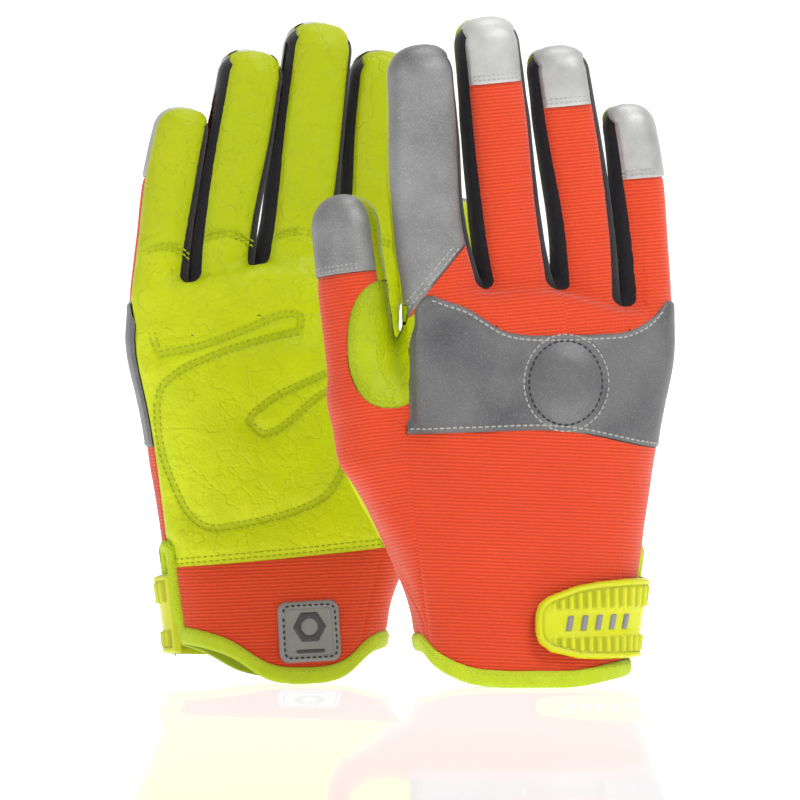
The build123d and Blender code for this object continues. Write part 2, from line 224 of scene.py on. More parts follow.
# ---------------------------------------------------------------- the shape of a glove
class Glove:
    """One glove: its place, its finger frames and the fields of its shape."""

    def __init__(self, which):
        self.which = which
        self.at = np.array([*PLACES[which]["at"], 0.0])
        yaw = PLACES[which]["yaw"]
        self.turn = turn_matrix(0, 0, math.degrees(yaw))
        self.leans = PLACES[which]["lean"]
        self.frames = {}
        for name, f in FINGERS.items():
            lean = math.radians(self.leans[name])
            x = f["x"] + math.tan(lean) * (f["base"] - REFERENCE_HEIGHT)
            self.frames[name] = (np.array([x, 0, f["base"]]), turn_matrix(0, self.leans[name], 0))
        self.frames["thumb"] = (np.array(THUMB["at"]), turn_matrix(*THUMB_TURN))
        self.seed = 3 if which == "front" else 80
        self.back_hem = BACK_HEM if which == "front" else REAR_BACK_HEM

    def world(self, p):
        return (p @ self.turn.T + self.at) * MM

    def length(self, name):
        if name == "thumb":
            return THUMB["length"]
        f = FINGERS[name]
        return (f["tip"] - f["base"]) / math.cos(math.radians(self.leans[name]))

    def local(self, name, p):
        """Across, towards the palm and along, in a finger's own frame."""
        origin, m = self.frames[name]
        return (p - origin) @ m

    def from_local(self, name, q):
        origin, m = self.frames[name]
        return q @ m.T + origin

    def hand_top(self, p):
        """Height of the webs between the fingers."""
        return curve(p[:, 0], WEBS) + WEB_TILT * np.clip(p[:, 1], -WEB_DEPTH, WEB_DEPTH)

    def hand(self, p):
        z = p[:, 2]
        centre, width, depth = (curve(z, HAND[:, (0, i)]) for i in (1, 2, 3))
        body = oval_distance(((p[:, 0] - centre, width / 2), (p[:, 1], depth / 2)), HAND_POWER)
        body = trim(body, z - self.hand_top(p), HAND_TOP_EDGE)
        cx, cy, width, depth = (curve(z, THUMB_ROOT[:, (0, i)]) for i in (1, 2, 3, 4))
        lobe = oval_distance(((p[:, 0] - cx, width / 2), (p[:, 1] - cy, depth / 2)), ROOT_POWER)
        lobe = trim(lobe, z - ROOT_TOP, ROOT_TOP_EDGE)
        return join(body, lobe, ROOT_JOIN)

    def finger(self, name, p):
        u, v, w = self.local(name, p).T
        size = THUMB if name == "thumb" else FINGERS[name]
        r, length = size["width"] / 2, self.length(name)
        share = np.clip(w / length, 0, 1)
        shift, half = self.bow(name, w)
        across = half * (1.0 + WAVE * np.cos(share * WAVES))
        deep = FINGER_DEPTH * r * (1.0 - DEPTH_TAPER * share)
        tip = (ROUND_THUMB_TIP if name == "thumb" else ROUND_TIP) * r
        over = np.maximum(w - (length - tip), 0) / tip + np.maximum(-14 - w, 0) / 12
        return oval_distance(((u - shift, across), (v, deep), (over, np.ones_like(over))), FINGER_POWER)

    def bow(self, name, w):
        """A finger's sideways shift and its half width, at a distance along it."""
        table = np.array(BOW[name])
        return curve(w, table[:, (0, 1)]), curve(w, table[:, (0, 2)]) * FULLNESS[self.which]

    def whole(self, p):
        d = self.hand_and_thumb(p)
        for name in NAMES:
            d = join(d, self.finger(name, p), FINGER_JOIN)
        return d

    def hand_and_thumb(self, p):
        return join(self.hand(p), self.finger("thumb", p), THUMB_JOIN)

    def with_finger(self, name):
        """The field of the hand with one finger only, so that its sides stay apart from its neighbours'."""
        if name == "thumb":
            return self.whole
        hand = self.hand_and_thumb if name == "index" else self.hand
        return lambda p: join(hand(p), self.finger(name, p), FINGER_JOIN)

    # regions: fields that are negative inside
    def root_height(self, p):
        """Height where the fingers' skins begin: the band's top edge, and the root creases on the palm."""
        side = ramp(p[:, 1] - self.seam_y(p), -4, 4)
        return (1 - side) * curve(view_across(p), BAND_TOP) + side * curve(p[:, 0], PALM_ROOT)

    def between(self, i, z):
        """The line between finger i and the next, at height z."""
        edges = []
        for name, side in ((NAMES[i], 1), (NAMES[i + 1], -1)):
            f, slope = FINGERS[name], math.tan(math.radians(self.leans[name]))
            shift, half = self.bow(name, z - f["base"])
            edges.append(f["x"] + slope * (z - REFERENCE_HEIGHT) + shift + side * half)
        return (edges[0] + edges[1]) / 2

    def finger_region(self, name, p):
        i = NAMES.index(name)
        f = self.root_height(p) - p[:, 2]
        if i == 0:
            f = np.maximum(f, -self.thumb_region(p))
        if i < len(NAMES) - 1:
            f = np.maximum(f, p[:, 0] - self.between(i, p[:, 2]))
        if i > 0:
            f = np.maximum(f, self.between(i - 1, p[:, 2]) - p[:, 0])
        return f

    def thumb_region(self, p):
        w = self.local("thumb", p)[:, 2]
        f = np.maximum(THUMB_START - w, p[:, 0] - THUMB_SIDE)
        f = np.maximum(f, w - self.length("thumb") - THUMB_OVER)
        return np.maximum(f, np.where(p[:, 2] > INDEX_FROM, self.finger("thumb", p) - THUMB_NEAR, -FAR))

    def seam_y(self, p):
        return SEAM_Y + math.tan(SEAM_SLOPE) * p[:, 0]

    def hem(self, p):
        side = ramp(p[:, 1] - self.seam_y(p), -6, 6)
        return (1 - side) * curve(p[:, 0], self.back_hem) + side * curve(p[:, 0], PALM_HEM)

    def slit(self, p):
        """Distance from the wrist slit on the little finger side."""
        a, b = np.abs(p[:, 1] - SLIT_Y) - SLIT_HALF, p[:, 2] - SLIT_TOP
        outside = np.hypot(np.maximum(a, 0), np.maximum(b, 0))
        return outside + np.minimum(np.maximum(a, b), 0) + np.maximum(24 - p[:, 0], 0)


# ---------------------------------------------------------------- skins: meshes made from fields
class Skin:
    """Points and triangles in a glove's own frame."""

    def __init__(self, points, faces):
        self.points, self.faces = points, faces

    def cut(self, f):
        """A finer skin with edges along the zero line of f, and f at its points."""
        f = np.where(np.abs(f) < 0.1, 0.0, f)
        faces = self.faces
        sign = np.sign(f).astype(int)[faces]
        crossed = (sign.min(axis=1) < 0) & (sign.max(axis=1) > 0)
        plain, work = faces[~crossed], faces[crossed]
        if not len(work):
            return self, f
        edges = np.sort(np.concatenate([work[:, (0, 1)], work[:, (1, 2)], work[:, (2, 0)]]), axis=1)
        opposite = f[edges[:, 0]] * f[edges[:, 1]] < 0
        unique, back = np.unique(edges[opposite], axis=0, return_inverse=True)
        fa, fb = f[unique[:, 0]], f[unique[:, 1]]
        t = (fa / (fa - fb))[:, None]
        fresh = self.points[unique[:, 0]] * (1 - t) + self.points[unique[:, 1]] * t
        number = np.full(len(edges), -1)
        number[opposite] = len(self.points) + back.ravel()
        mids = number.reshape(3, -1).T  # the new point on edges 01, 12 and 20, or -1
        made = [plain]
        two = (mids >= 0).sum(axis=1) == 2
        for k in range(3):
            # the corner between the two crossed edges is corner k
            pick = two & (mids[:, (k + 1) % 3] < 0)
            a, b, c = work[pick][:, k], work[pick][:, (k + 1) % 3], work[pick][:, (k + 2) % 3]
            ab, ca = mids[pick][:, k], mids[pick][:, (k + 2) % 3]
            made += [np.stack(t3, axis=1) for t3 in ((a, ab, ca), (ab, b, c), (ab, c, ca))]
            # one crossed edge, opposite a corner that lies on the line
            pick = ~two & (mids[:, k] >= 0)
            a, b, c = work[pick][:, k], work[pick][:, (k + 1) % 3], work[pick][:, (k + 2) % 3]
            ab = mids[pick][:, k]
            made += [np.stack(t3, axis=1) for t3 in ((a, ab, c), (ab, b, c))]
        points = np.concatenate([self.points, fresh])
        return Skin(points, np.concatenate(made)), np.concatenate([f, np.zeros(len(fresh))])

    def keep(self, chosen):
        """The chosen triangles, with only the points that they use."""
        faces = self.faces[chosen]
        used, back = np.unique(faces, return_inverse=True)
        return Skin(self.points[used], back.reshape(-1, 3))

    def split(self, field):
        """The parts where a field is negative and positive."""
        skin, f = self.cut(field(self.points))
        corners = f[skin.faces]
        farthest = np.abs(corners).argmax(axis=1)[:, None]
        corner = np.take_along_axis(corners, farthest, axis=1)[:, 0]
        return skin.keep(corner < 0), skin.keep(corner >= 0)

    def scored(self, field, levels):
        """The same skin with extra edges along some levels of a field."""
        skin = self
        for level in levels:
            skin = skin.cut(field(skin.points) - level)[0]
        return skin


def gradient(field, p, eps=0.15):
    shifts = np.eye(3) * eps
    return np.stack([field(p + s) - field(p - s) for s in shifts], axis=1) / (2 * eps)


def settle(field, p, times=3):
    """Points moved on to the field's zero surface."""
    for _ in range(times):
        g = gradient(field, p)
        p = p - g * (field(p) / np.maximum((g * g).sum(axis=1), 0.05))[:, None]
    return p


def normals(field, p):
    g = gradient(field, p)
    return g / np.maximum(np.linalg.norm(g, axis=1), 1e-9)[:, None]


def surface_net(field, low, high, step=STEP):
    """A skin over a field's zero surface, between two corners."""
    low, high = np.array(low, float), np.array(high, float)
    counts = np.ceil((high - low) / step).astype(int) + 1
    grid = np.stack(np.meshgrid(*[np.arange(n) for n in counts], indexing="ij"), axis=-1).reshape(-1, 3)
    spots = grid * step + low
    values = np.concatenate([field(chunk) for chunk in np.array_split(spots, max(1, len(spots) // 200000))])
    values = values.reshape(counts)
    inside = values < 0
    cells = tuple(counts - 1)

    def corner(array, offset):
        return array[tuple(slice(o, o + n) for o, n in zip(offset, cells))]

    offsets = list(np.ndindex(2, 2, 2))
    count_in = sum(corner(inside, o).astype(int) for o in offsets)
    active = (count_in > 0) & (count_in < 8)
    where = np.argwhere(active)
    ids = np.full(cells, -1)
    ids[active] = np.arange(len(where))
    total, found = np.zeros((len(where), 3)), np.zeros(len(where))
    for axis in range(3):
        for o in offsets:
            if o[axis]:
                continue
            far = tuple(c + (a == axis) for a, c in enumerate(o))
            va, vb = corner(values, o)[active], corner(values, far)[active]
            crossing = (va < 0) != (vb < 0)
            t = np.where(crossing, va / np.where(crossing, va - vb, 1), 0)
            spot = np.array(o, float)[None, :] + t[:, None] * (np.arange(3) == axis)
            total += spot * crossing[:, None]
            found += crossing
    points = low + step * (where + total / found[:, None])
    faces = []
    for axis in range(3):
        b, c = (axis + 1) % 3, (axis + 2) % 3
        shorter = [slice(None)] * 3
        longer = [slice(None)] * 3
        shorter[axis], longer[axis] = slice(0, -1), slice(1, None)
        change = inside[tuple(shorter)] != inside[tuple(longer)]
        spot = np.argwhere(change)
        fits = (spot[:, b] > 0) & (spot[:, c] > 0) & (spot[:, b] < cells[b]) & (spot[:, c] < cells[c])
        spot = spot[fits]
        step_b, step_c = (np.arange(3) == b).astype(int), (np.arange(3) == c).astype(int)
        quad = [ids[tuple((spot - m * step_b - n * step_c).T)] for m, n in ((0, 0), (1, 0), (1, 1), (0, 1))]
        quad = np.stack(quad, axis=1)
        outward = inside[tuple(spot.T)]
        quad = np.where(outward[:, None], quad, quad[:, ::-1])
        faces += [quad[:, (0, 1, 2)], quad[:, (0, 2, 3)]]
    return Skin(settle(field, points), np.concatenate(faces))


def cast(field, start, heading, reach=140.0):
    """Where rays first meet the surface, and which of them do."""
    heading = np.broadcast_to(np.asarray(heading, float), start.shape)
    gone = np.zeros(len(start))
    for _ in range(70):
        d = field(start + heading * gone[:, None])
        gone = np.where(gone < reach, gone + 0.8 * np.maximum(d, -2), gone)
    spots = start + heading * gone[:, None]
    return spots, np.abs(field(spots)) < 0.3


# ---------------------------------------------------------------- materials
class Nodes:
    """A material's node tree, with short calls for what the recipes below use."""

    def __init__(self, name):
        self.material = bpy.data.materials.new(name)
        self.material.use_nodes = True
        self.tree = self.material.node_tree
        self.shader = next(n for n in self.tree.nodes if n.type == "BSDF_PRINCIPLED")
        coords = self.add("ShaderNodeTexCoord")
        self.place = coords.outputs["Object"]

    def add(self, kind, **settings):
        node = self.tree.nodes.new(kind)
        for key, value in settings.items():
            setattr(node, key, value)
        return node

    def link(self, source, target):
        if isinstance(source, (int, float, tuple)):
            target.default_value = source
        else:
            self.tree.links.new(source, target)

    def attribute(self, name):
        return self.add("ShaderNodeAttribute", attribute_name=name).outputs["Fac"]

    def math(self, kind, a, b=0.0):
        node = self.add("ShaderNodeMath", operation=kind)
        self.link(a, node.inputs[0])
        self.link(b, node.inputs[1])
        return node.outputs[0]

    def noise(self, scale, detail=3.0, roughness=0.55, place=None):
        node = self.add("ShaderNodeTexNoise")
        self.link(place or self.place, node.inputs["Vector"])
        node.inputs["Scale"].default_value = scale
        node.inputs["Detail"].default_value = detail
        node.inputs["Roughness"].default_value = roughness
        return node.outputs["Fac"]

    def cells(self, scale, feature="F1"):
        node = self.add("ShaderNodeTexVoronoi", feature=feature)
        self.link(self.place, node.inputs["Vector"])
        node.inputs["Scale"].default_value = scale
        return node.outputs["Distance"]

    def spread(self, value, low, high, to_low=0.0, to_high=1.0):
        node = self.add("ShaderNodeMapRange")
        self.link(value, node.inputs["Value"])
        for key, number in (("From Min", low), ("From Max", high), ("To Min", to_low), ("To Max", to_high)):
            node.inputs[key].default_value = number
        return node.outputs["Result"]

    def mix(self, share, a, b):
        node = self.add("ShaderNodeMix", data_type="RGBA")
        self.link(share, node.inputs[0])
        self.link(a, node.inputs[6])
        self.link(b, node.inputs[7])
        return node.outputs[2]

    def bump(self, height, depth_mm, under=None):
        node = self.add("ShaderNodeBump")
        node.inputs["Strength"].default_value = 1.0
        node.inputs["Distance"].default_value = depth_mm * MM
        self.link(height, node.inputs["Height"])
        if under is not None:
            self.link(under, node.inputs["Normal"])
        return node.outputs["Normal"]

    def finish(self, color, roughness, normal=None, **fixed):
        self.link(color, self.shader.inputs["Base Color"])
        self.link(roughness, self.shader.inputs["Roughness"])
        if normal is not None:
            self.link(normal, self.shader.inputs["Normal"])
        for key, value in fixed.items():
            self.shader.inputs[key.replace("_", " ").title().replace("Ior", "IOR")].default_value = value
        return self.material


def linear(r, g, b):
    """A colour given as screen values from 0 to 255, as the shader wants it."""
    values = [c / 255 / 12.92 if c / 255 < 0.04045 else ((c / 255 + 0.055) / 1.055) ** 2.4 for c in (r, g, b)]
    return (*values, 1.0)


RIB = 1.27  # from one rib of the knit to the next, mm


def knit(name, color, shade, rib=RIB):
    """Stretch knit with ribs across it, and small loops along each rib."""
    n = Nodes(name)
    along, across = n.attribute("along"), n.attribute("across")
    wobble = n.math("MULTIPLY", n.noise(160.0), 0.35)
    rows = n.math("SINE", n.math("MULTIPLY", n.math("ADD", along, wobble), 2 * math.pi / rib))
    loops = n.math("SINE", n.math("MULTIPLY", across, 2 * math.pi / (0.62 * rib)))
    height = n.math("ADD", rows, n.math("MULTIPLY", loops, 0.35))
    tone = n.spread(n.math("ADD", rows, n.math("MULTIPLY", n.noise(900.0), 0.9)), -1.2, 1.8)
    base = n.mix(tone, shade, color)
    patch = n.spread(n.noise(28.0), 0.35, 0.7, 0.0, 0.16)
    base = n.mix(patch, base, shade)
    normal = n.bump(height, 0.11)
    return n.finish(base, 0.82, normal, sheen_weight=0.35, sheen_roughness=0.45, specular_ior_level=0.25)


def leather(name, color, deep):
    """Soft grained leather: fine pebbles, shallow creases, a little gloss on the high spots, and painted
    shade: darker near seams and up the fingers.
    """
    n = Nodes(name)
    pebbles = n.cells(1150.0)
    fine = n.noise(2100.0, 2.0)
    creases = n.noise(62.0, 5.0, 0.6)
    folds = n.spread(n.math("ABSOLUTE", n.math("SUBTRACT", n.noise(95.0, 3.0), 0.5)), 0.0, 0.05)
    # painted shade: the leather darkens towards the seams, where their grooves lie
    seam = n.spread(n.attribute("seam"), 0.0, 2.2)
    finger_shade = tuple(0.74 * c for c in color[:3]) + (1.0,)  # painted shade: the same leather is darkened up the fingers by its height
    base = n.mix(n.spread(n.attribute("height"), 122.0, 172.0), color, finger_shade)
    base = n.mix(n.spread(creases, 0.3, 0.7, 0.0, 0.35), base, deep)
    base = n.mix(n.spread(seam, 0.0, 1.0, 0.55, 0.0), base, deep)
    normal = n.bump(pebbles, 0.10)
    normal = n.bump(fine, 0.04, normal)
    normal = n.bump(creases, 1.1, normal)
    normal = n.bump(folds, 0.22, normal)
    rough = n.spread(n.math("ADD", creases, n.math("MULTIPLY", pebbles, 0.3)), 0.3, 0.9, 0.40, 0.56)
    return n.finish(base, rough, normal, specular_ior_level=0.3)


def reflective(name, color, deep, sparkle=0.5):
    """Grey reflective film: tiny glass beads that sparkle, over a woven backing."""
    n = Nodes(name)
    beads = n.cells(2600.0)
    cloud = n.noise(46.0, 4.0)
    speck = n.spread(n.noise(3800.0, 1.0), 0.62, 0.70, 0.0, sparkle)
    base = n.mix(n.spread(cloud, 0.3, 0.7), deep, color)
    base = n.mix(speck, base, (0.75, 0.75, 0.74, 1.0))
    normal = n.bump(beads, 0.06)
    normal = n.bump(cloud, 0.5, normal)
    rough = n.spread(cloud, 0.3, 0.7, 0.40, 0.52)
    return n.finish(base, rough, normal, metallic=0.35, specular_ior_level=0.5)


def stretch(name, color):
    """Black stretch fabric with a fine grain."""
    n = Nodes(name)
    weave = n.cells(1500.0)
    normal = n.bump(weave, 0.12)
    normal = n.bump(n.noise(120.0), 0.3, normal)
    base = n.mix(n.spread(weave, 0.0, 0.8), (0.003, 0.003, 0.004, 1.0), color)
    return n.finish(base, 0.85, normal, sheen_weight=0.25, specular_ior_level=0.25)


def tape(name, color, deep):
    """Folded binding tape with a fine diagonal weave."""
    n = Nodes(name)
    along, across = n.attribute("along"), n.attribute("across")
    twill = n.math("SINE", n.math("MULTIPLY", n.math("ADD", along, across), 2 * math.pi / 0.75))
    base = n.mix(n.spread(n.math("ADD", twill, n.noise(140.0)), -0.8, 1.8), deep, color)
    normal = n.bump(twill, 0.07)
    normal = n.bump(n.noise(190.0), 0.35, normal)
    return n.finish(base, 0.72, normal, sheen_weight=0.2, specular_ior_level=0.3)


def moulded(name, color, deep, gloss=0.42):
    """Soft moulded rubber with a faint grain and rubbed high spots, and painted shade where the 'seam' value
    is low.
    """
    n = Nodes(name)
    grain = n.noise(1300.0, 2.0)
    base = n.mix(n.spread(n.noise(75.0), 0.3, 0.75, 0.0, 0.4), color, deep)
    # painted shade: hollows darken towards half the deep colour
    hollow = tuple(0.5 * c for c in deep[:3]) + (1.0,)
    base = n.mix(n.spread(n.attribute("seam"), 0.0, 1.0, 0.5, 0.0), base, hollow)
    normal = n.bump(grain, 0.035)
    rough = n.spread(n.noise(210.0), 0.3, 0.7, gloss - 0.05, gloss + 0.08)
    return n.finish(base, rough, normal, specular_ior_level=0.5)


def thread(name, color):
    """Twisted sewing thread."""
    n = Nodes(name)
    base = n.mix(n.spread(n.noise(1800.0), 0.3, 0.7), color, tuple(0.6 * c for c in color[:3]) + (1.0,))
    return n.finish(base, 0.55, n.bump(n.noise(3000.0), 0.05), specular_ior_level=0.4)


MATERIALS = {
    "orange_knit": knit("orange knit", linear(240, 84, 42), linear(196, 52, 26)),
    "lime_leather": leather("lime leather", linear(208, 220, 4), linear(166, 182, 0)),
    # painted shade: a darker copy of the lime leather, used on the thumb's saddle
    "shaded_lime_leather": leather("lime leather of the thumb", linear(180, 196, 0), linear(138, 154, 0)),
    "reflective_grey": reflective("reflective film", linear(146, 146, 146), linear(112, 112, 113)),
    "tip_grey": reflective("bright reflective film", linear(204, 204, 201), linear(166, 166, 165)),
    "band_grey": reflective("reflective band", linear(116, 116, 117), linear(90, 90, 92), 0.3),
    "black_stretch": stretch("black stretch", linear(34, 31, 37)),
    "lime_binding": tape("lime binding", linear(212, 232, 40), linear(176, 200, 18)),
    "strap_rubber": moulded("lime rubber", linear(214, 218, 10), linear(182, 190, 2)),
    "badge_rubber": moulded("grey rubber", linear(142, 142, 146), linear(112, 112, 117), 0.5),
    "dark_rubber": moulded("dark rubber", linear(70, 72, 78), linear(48, 50, 56), 0.5),
    "pad_foam": stretch("foam", linear(60, 60, 60)),
    "hook_tape": stretch("hook tape", linear(40, 40, 42)),
    "loop_tape": stretch("loop tape", linear(46, 44, 48)),
    "thread_grey": thread("grey thread", linear(190, 190, 184)),
    "thread_lime": thread("lime thread", linear(190, 206, 26)),
    "thread_pale": thread("pale lime thread", linear(205, 222, 60)),
    "thread_dark": thread("dark thread", linear(52, 50, 54)),
    "thread_black": thread("black thread", linear(26, 26, 28)),
}


# ---------------------------------------------------------------- pieces: skins as objects
def add_mesh(name, points, faces, material, values=None):
    """A smooth mesh object in the shared frame, with numbers at its points for the materials to use."""
    mesh = bpy.data.meshes.new(name)
    mesh.from_pydata(points.tolist(), [], faces.tolist())
    for key, numbers in (values or {}).items():
        layer = mesh.attributes.new(key, "FLOAT", "POINT")
        layer.data.foreach_set("value", np.asarray(numbers, np.float32))
    mesh.polygons.foreach_set("use_smooth", np.ones(len(mesh.polygons), bool))
    mesh.materials.append(MATERIALS[material])
    mesh.update()
    piece = bpy.data.objects.new(name, mesh)
    bpy.context.scene.collection.objects.link(piece)
    return piece


# two places along each finger for its panels' bend from the hand; attach() finds where they lie but bends
# nothing
BLEND = {"index": (-7, 8), "middle": (-7, 8), "ring": (-7, 8), "pinky": (-3, 11), "thumb": (-5, 9)}


def attach(glove, piece, part):
    """Makes a piece ride on the hand or on the strap; a finger's piece is only baked into the shared frame.
    """
    if part in BLEND:
        ends = [glove.world(glove.from_local(part, np.array([[0.0, 0.0, w]])))[0] for w in BLEND[part]]
        tuple(ends[0])
        tuple(ends[1])
        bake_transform(piece)
    else:
        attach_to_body(piece, f"{glove.which}_{part}")


def make(glove, name, part, points, faces, material, nodes=(), values=None):
    """One finished piece of a glove: its mesh, its body when it rides on one, and the CAD nodes that it
    stands for.
    """
    piece = add_mesh(f"{glove.which}_{name}_look", glove.world(points), faces, material, values)
    attach(glove, piece, part)
    if nodes:
        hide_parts(*[f"{glove.which}_{node}" for node in nodes])
    return piece


def plain_values(count):
    """The numbers at the points of a piece that has neither seams nor grain."""
    none = np.zeros(count)
    return {"seam": none + FAR, "along": none, "across": none}


def panel(glove, name, part, field, skin, material, rise, seam, grain, nodes=()):
    """A fabric panel: a skin lifted off the field's surface by rise, with its seam distance and its grain."""
    p = skin.points
    lifted = p + normals(field, p) * rise(p)[:, None]
    along, across = grain(p)
    # the materials paint shade from these values: darker near seams ('seam') and up the fingers ('height')
    values = {"seam": seam(p), "along": along, "across": across, "height": p[:, 2]}
    return make(glove, name, part, lifted, skin.faces, material, nodes, values)


def border(faces):
    """The edges that only one triangle has, in that triangle's direction."""
    edges = np.concatenate([faces[:, (0, 1)], faces[:, (1, 2)], faces[:, (2, 0)]])
    keys = np.sort(edges, axis=1)
    unique, first, count = np.unique(keys, axis=0, return_index=True, return_counts=True)
    return edges[first[count == 1]]


def closed(top, bottom, faces):
    """A closed plate from matching top and bottom points."""
    n = len(top)
    edge = border(faces)
    sides = np.concatenate([np.stack([edge[:, 1], edge[:, 0], edge[:, 0] + n], axis=1),
                            np.stack([edge[:, 1], edge[:, 0] + n, edge[:, 1] + n], axis=1)])
    return np.concatenate([top, bottom]), np.concatenate([faces, faces[:, ::-1] + n, sides])


def flat_grid(low, high, step):
    """A flat skin of triangles between two corners, its points' third coordinate 0."""
    na, nb = (int(math.ceil((h - l) / step)) + 1 for l, h in zip(low, high))
    a, b = np.meshgrid(np.linspace(low[0], high[0], na), np.linspace(low[1], high[1], nb), indexing="ij")
    points = np.stack([a.ravel(), b.ravel(), np.zeros(a.size)], axis=1)
    corner = (np.arange(na - 1)[:, None] * nb + np.arange(nb - 1)[None, :]).ravel()
    quads = np.stack([corner, corner + nb, corner + nb + 1, corner + 1], axis=1)
    return Skin(points, np.concatenate([quads[:, (0, 1, 2)], quads[:, (0, 2, 3)]]))


def polygon_distance(p, corners):
    """Distance from the outline of a polygon in the first two coordinates, negative inside."""
    corners = np.asarray(corners, float)
    inside = np.zeros(len(p), bool)
    best = np.full(len(p), np.inf)
    for a, b in zip(corners, np.roll(corners, -1, axis=0)):
        e, q = b - a, p[:, :2] - a
        t = np.clip((q @ e) / max(e @ e, 1e-9), 0, 1)
        best = np.minimum(best, np.hypot(*(q - t[:, None] * e).T))
        span = (a[1] > p[:, 1]) != (b[1] > p[:, 1])
        cross = a[0] + (p[:, 1] - a[1]) * e[0] / (e[1] if e[1] else 1)
        inside ^= span & (p[:, 0] < cross)
    return np.where(inside, -best, best)


def line_distance(across, height, line):
    """Distance from a line of points, in the plane that the viewer sees."""
    best = np.full(len(across), np.inf)
    for a, b in zip(np.asarray(line[:-1], float), np.asarray(line[1:], float)):
        e = b - a
        q = np.stack([across - a[0], height - a[1]], axis=1)
        t = np.clip((q @ e) / (e @ e), 0, 1)
        best = np.minimum(best, np.hypot(*(q - t[:, None] * e).T))
    return best


def smooth_line(points, count=12):
    """A rounder line through a few points."""
    points = np.asarray(points, float)
    t = np.concatenate([[0], np.cumsum(np.linalg.norm(np.diff(points, axis=0), axis=1))])
    s = np.linspace(0, t[-1], count * (len(points) - 1) + 1)
    return np.stack([curve(s, np.stack([t, points[:, i]], axis=1)) for i in range(points.shape[1])], axis=1)


# ---------------------------------------------------------------- stitches
STITCH_PITCH, STITCH_LENGTH, THREAD = 2.35, 1.75, 0.34
# share of the stitch's length, height and thickness in thread radii
THREAD_RINGS = ((0.0, -0.6, 0.55), (0.16, 0.25, 0.9), (0.5, 0.55, 1.0), (0.84, 0.25, 0.9), (1.0, -0.6, 0.55))
THREAD_SIDES = 6


def evenly(points, others, pitch):
    """Points, and what goes with them, at even steps along a line."""
    t = np.concatenate([[0], np.cumsum(np.linalg.norm(np.diff(points, axis=0), axis=1))])
    s = np.arange(0, t[-1], pitch)
    return [np.stack([np.interp(s, t, a[:, i]) for i in range(3)], axis=1) for a in (points, *others)]


def thread_shape(start, end, normal, radius):
    """Short threads that come out of the fabric at one end and go in at the other."""
    heading = end - start
    heading = heading / np.maximum(np.linalg.norm(heading, axis=1), 1e-9)[:, None]
    side = np.cross(normal, heading)
    sides, points = THREAD_SIDES, []
    for share, rise, thickness in THREAD_RINGS:
        centre = start + (end - start) * share + normal * (radius * rise)
        for k in range(sides):
            a = 2 * math.pi * k / sides
            points.append(centre + (side * math.cos(a) + normal * math.sin(a)) * radius * thickness)
    points = np.stack(points, axis=1)
    faces = []
    for i in range(len(THREAD_RINGS) - 1):
        for k in range(sides):
            a, b = i * sides + k, i * sides + (k + 1) % sides
            faces += [(a, a + sides, b + sides), (a, b + sides, b)]
    last = (len(THREAD_RINGS) - 1) * sides
    faces += [(0, k, k + 1) for k in range(1, sides - 1)]
    faces += [(last, last + k + 1, last + k) for k in range(1, sides - 1)]
    faces = np.array(faces)
    base = np.arange(len(start))[:, None, None] * points.shape[1]
    return points.reshape(-1, 3), (faces[None] + base).reshape(-1, 3)


class Seams:
    """Collects the stitches of one colour on one part of a glove."""

    def __init__(self, glove, part, field, material):
        self.glove, self.part, self.field, self.material = glove, part, field, material
        self.points, self.faces = [], []

    def along(self, start, heading, lift=0.0, pitch=STITCH_PITCH, radius=THREAD, valid=None):
        """Stitches along the line where rays from start meet the surface; lift may depend on the place."""
        spots, met = cast(self.field, start, heading)
        if valid is not None:
            met &= valid(spots)
        edges = np.flatnonzero(np.diff(np.concatenate([[0], met.astype(int), [0]])))
        for low, high in zip(edges[::2], edges[1::2]):
            if high - low < 3:
                continue
            run = spots[low:high]
            n = normals(self.field, run)
            rise = lift(run) if callable(lift) else lift
            run = run + n * np.reshape(rise, (-1, 1)) * np.ones((len(run), 1))
            p, n = evenly(run, [n], pitch / 8)
            n = n / np.maximum(np.linalg.norm(n, axis=1), 1e-9)[:, None]
            first = np.arange(0, len(p) - 7, 8)
            last = first + max(1, round(8 * STITCH_LENGTH / STITCH_PITCH))
            last = np.minimum(last, len(p) - 1)
            points, faces = thread_shape(p[first], p[last], n[first], radius)
            self.faces.append(faces + sum(len(q) for q in self.points))
            self.points.append(points)

    def view(self, line, side, **settings):
        """Stitches along a line drawn as the viewer sees it, on the back (-1) or the palm (1)."""
        line = smooth_line(line, 24)
        self.along(*from_viewer(line[:, 0], line[:, 1], side), **settings)

    def finger(self, name, line, side, **settings):
        """Stitches along a line in a finger's own frame, as across and along."""
        line = smooth_line(line, 24)
        q = np.stack([line[:, 0], np.full(len(line), side * 40.0), line[:, 1]], axis=1)
        heading = self.glove.frames[name][1] @ np.array([0, -side, 0.0])
        self.along(self.glove.from_local(name, q), heading, **settings)

    def finish(self, name):
        if self.points:
            points, faces = np.concatenate(self.points), np.concatenate(self.faces)
            make(self.glove, name, self.part, points, faces, self.material)


# ---------------------------------------------------------------- seams and pads of the pattern
GROOVE_SCORES = (-1.3, -0.5, 0.5, 1.3)
# lower edge of the index finger's grey back, as the viewer sees it
DIAGONAL = ((-42.0, 135.4), (-22.6, 159.5))
DISC = {"across": 15.0, "height": 111.0, "radii": (13.6, 15.6)}
SADDLE = {"across": -49.2, "height": 125.2, "radii": (15.3, 23.5)}
# upright seams, as height and across
SIDE_SEAM = ((0, -33), (12, -34.3), (50, -38.6), (90, -42.4), (101, -42.7), (130, -43))
CUFF_SEAM = ((0, -29.5), (16, -31.2), (48, -38.0), (60, -40))
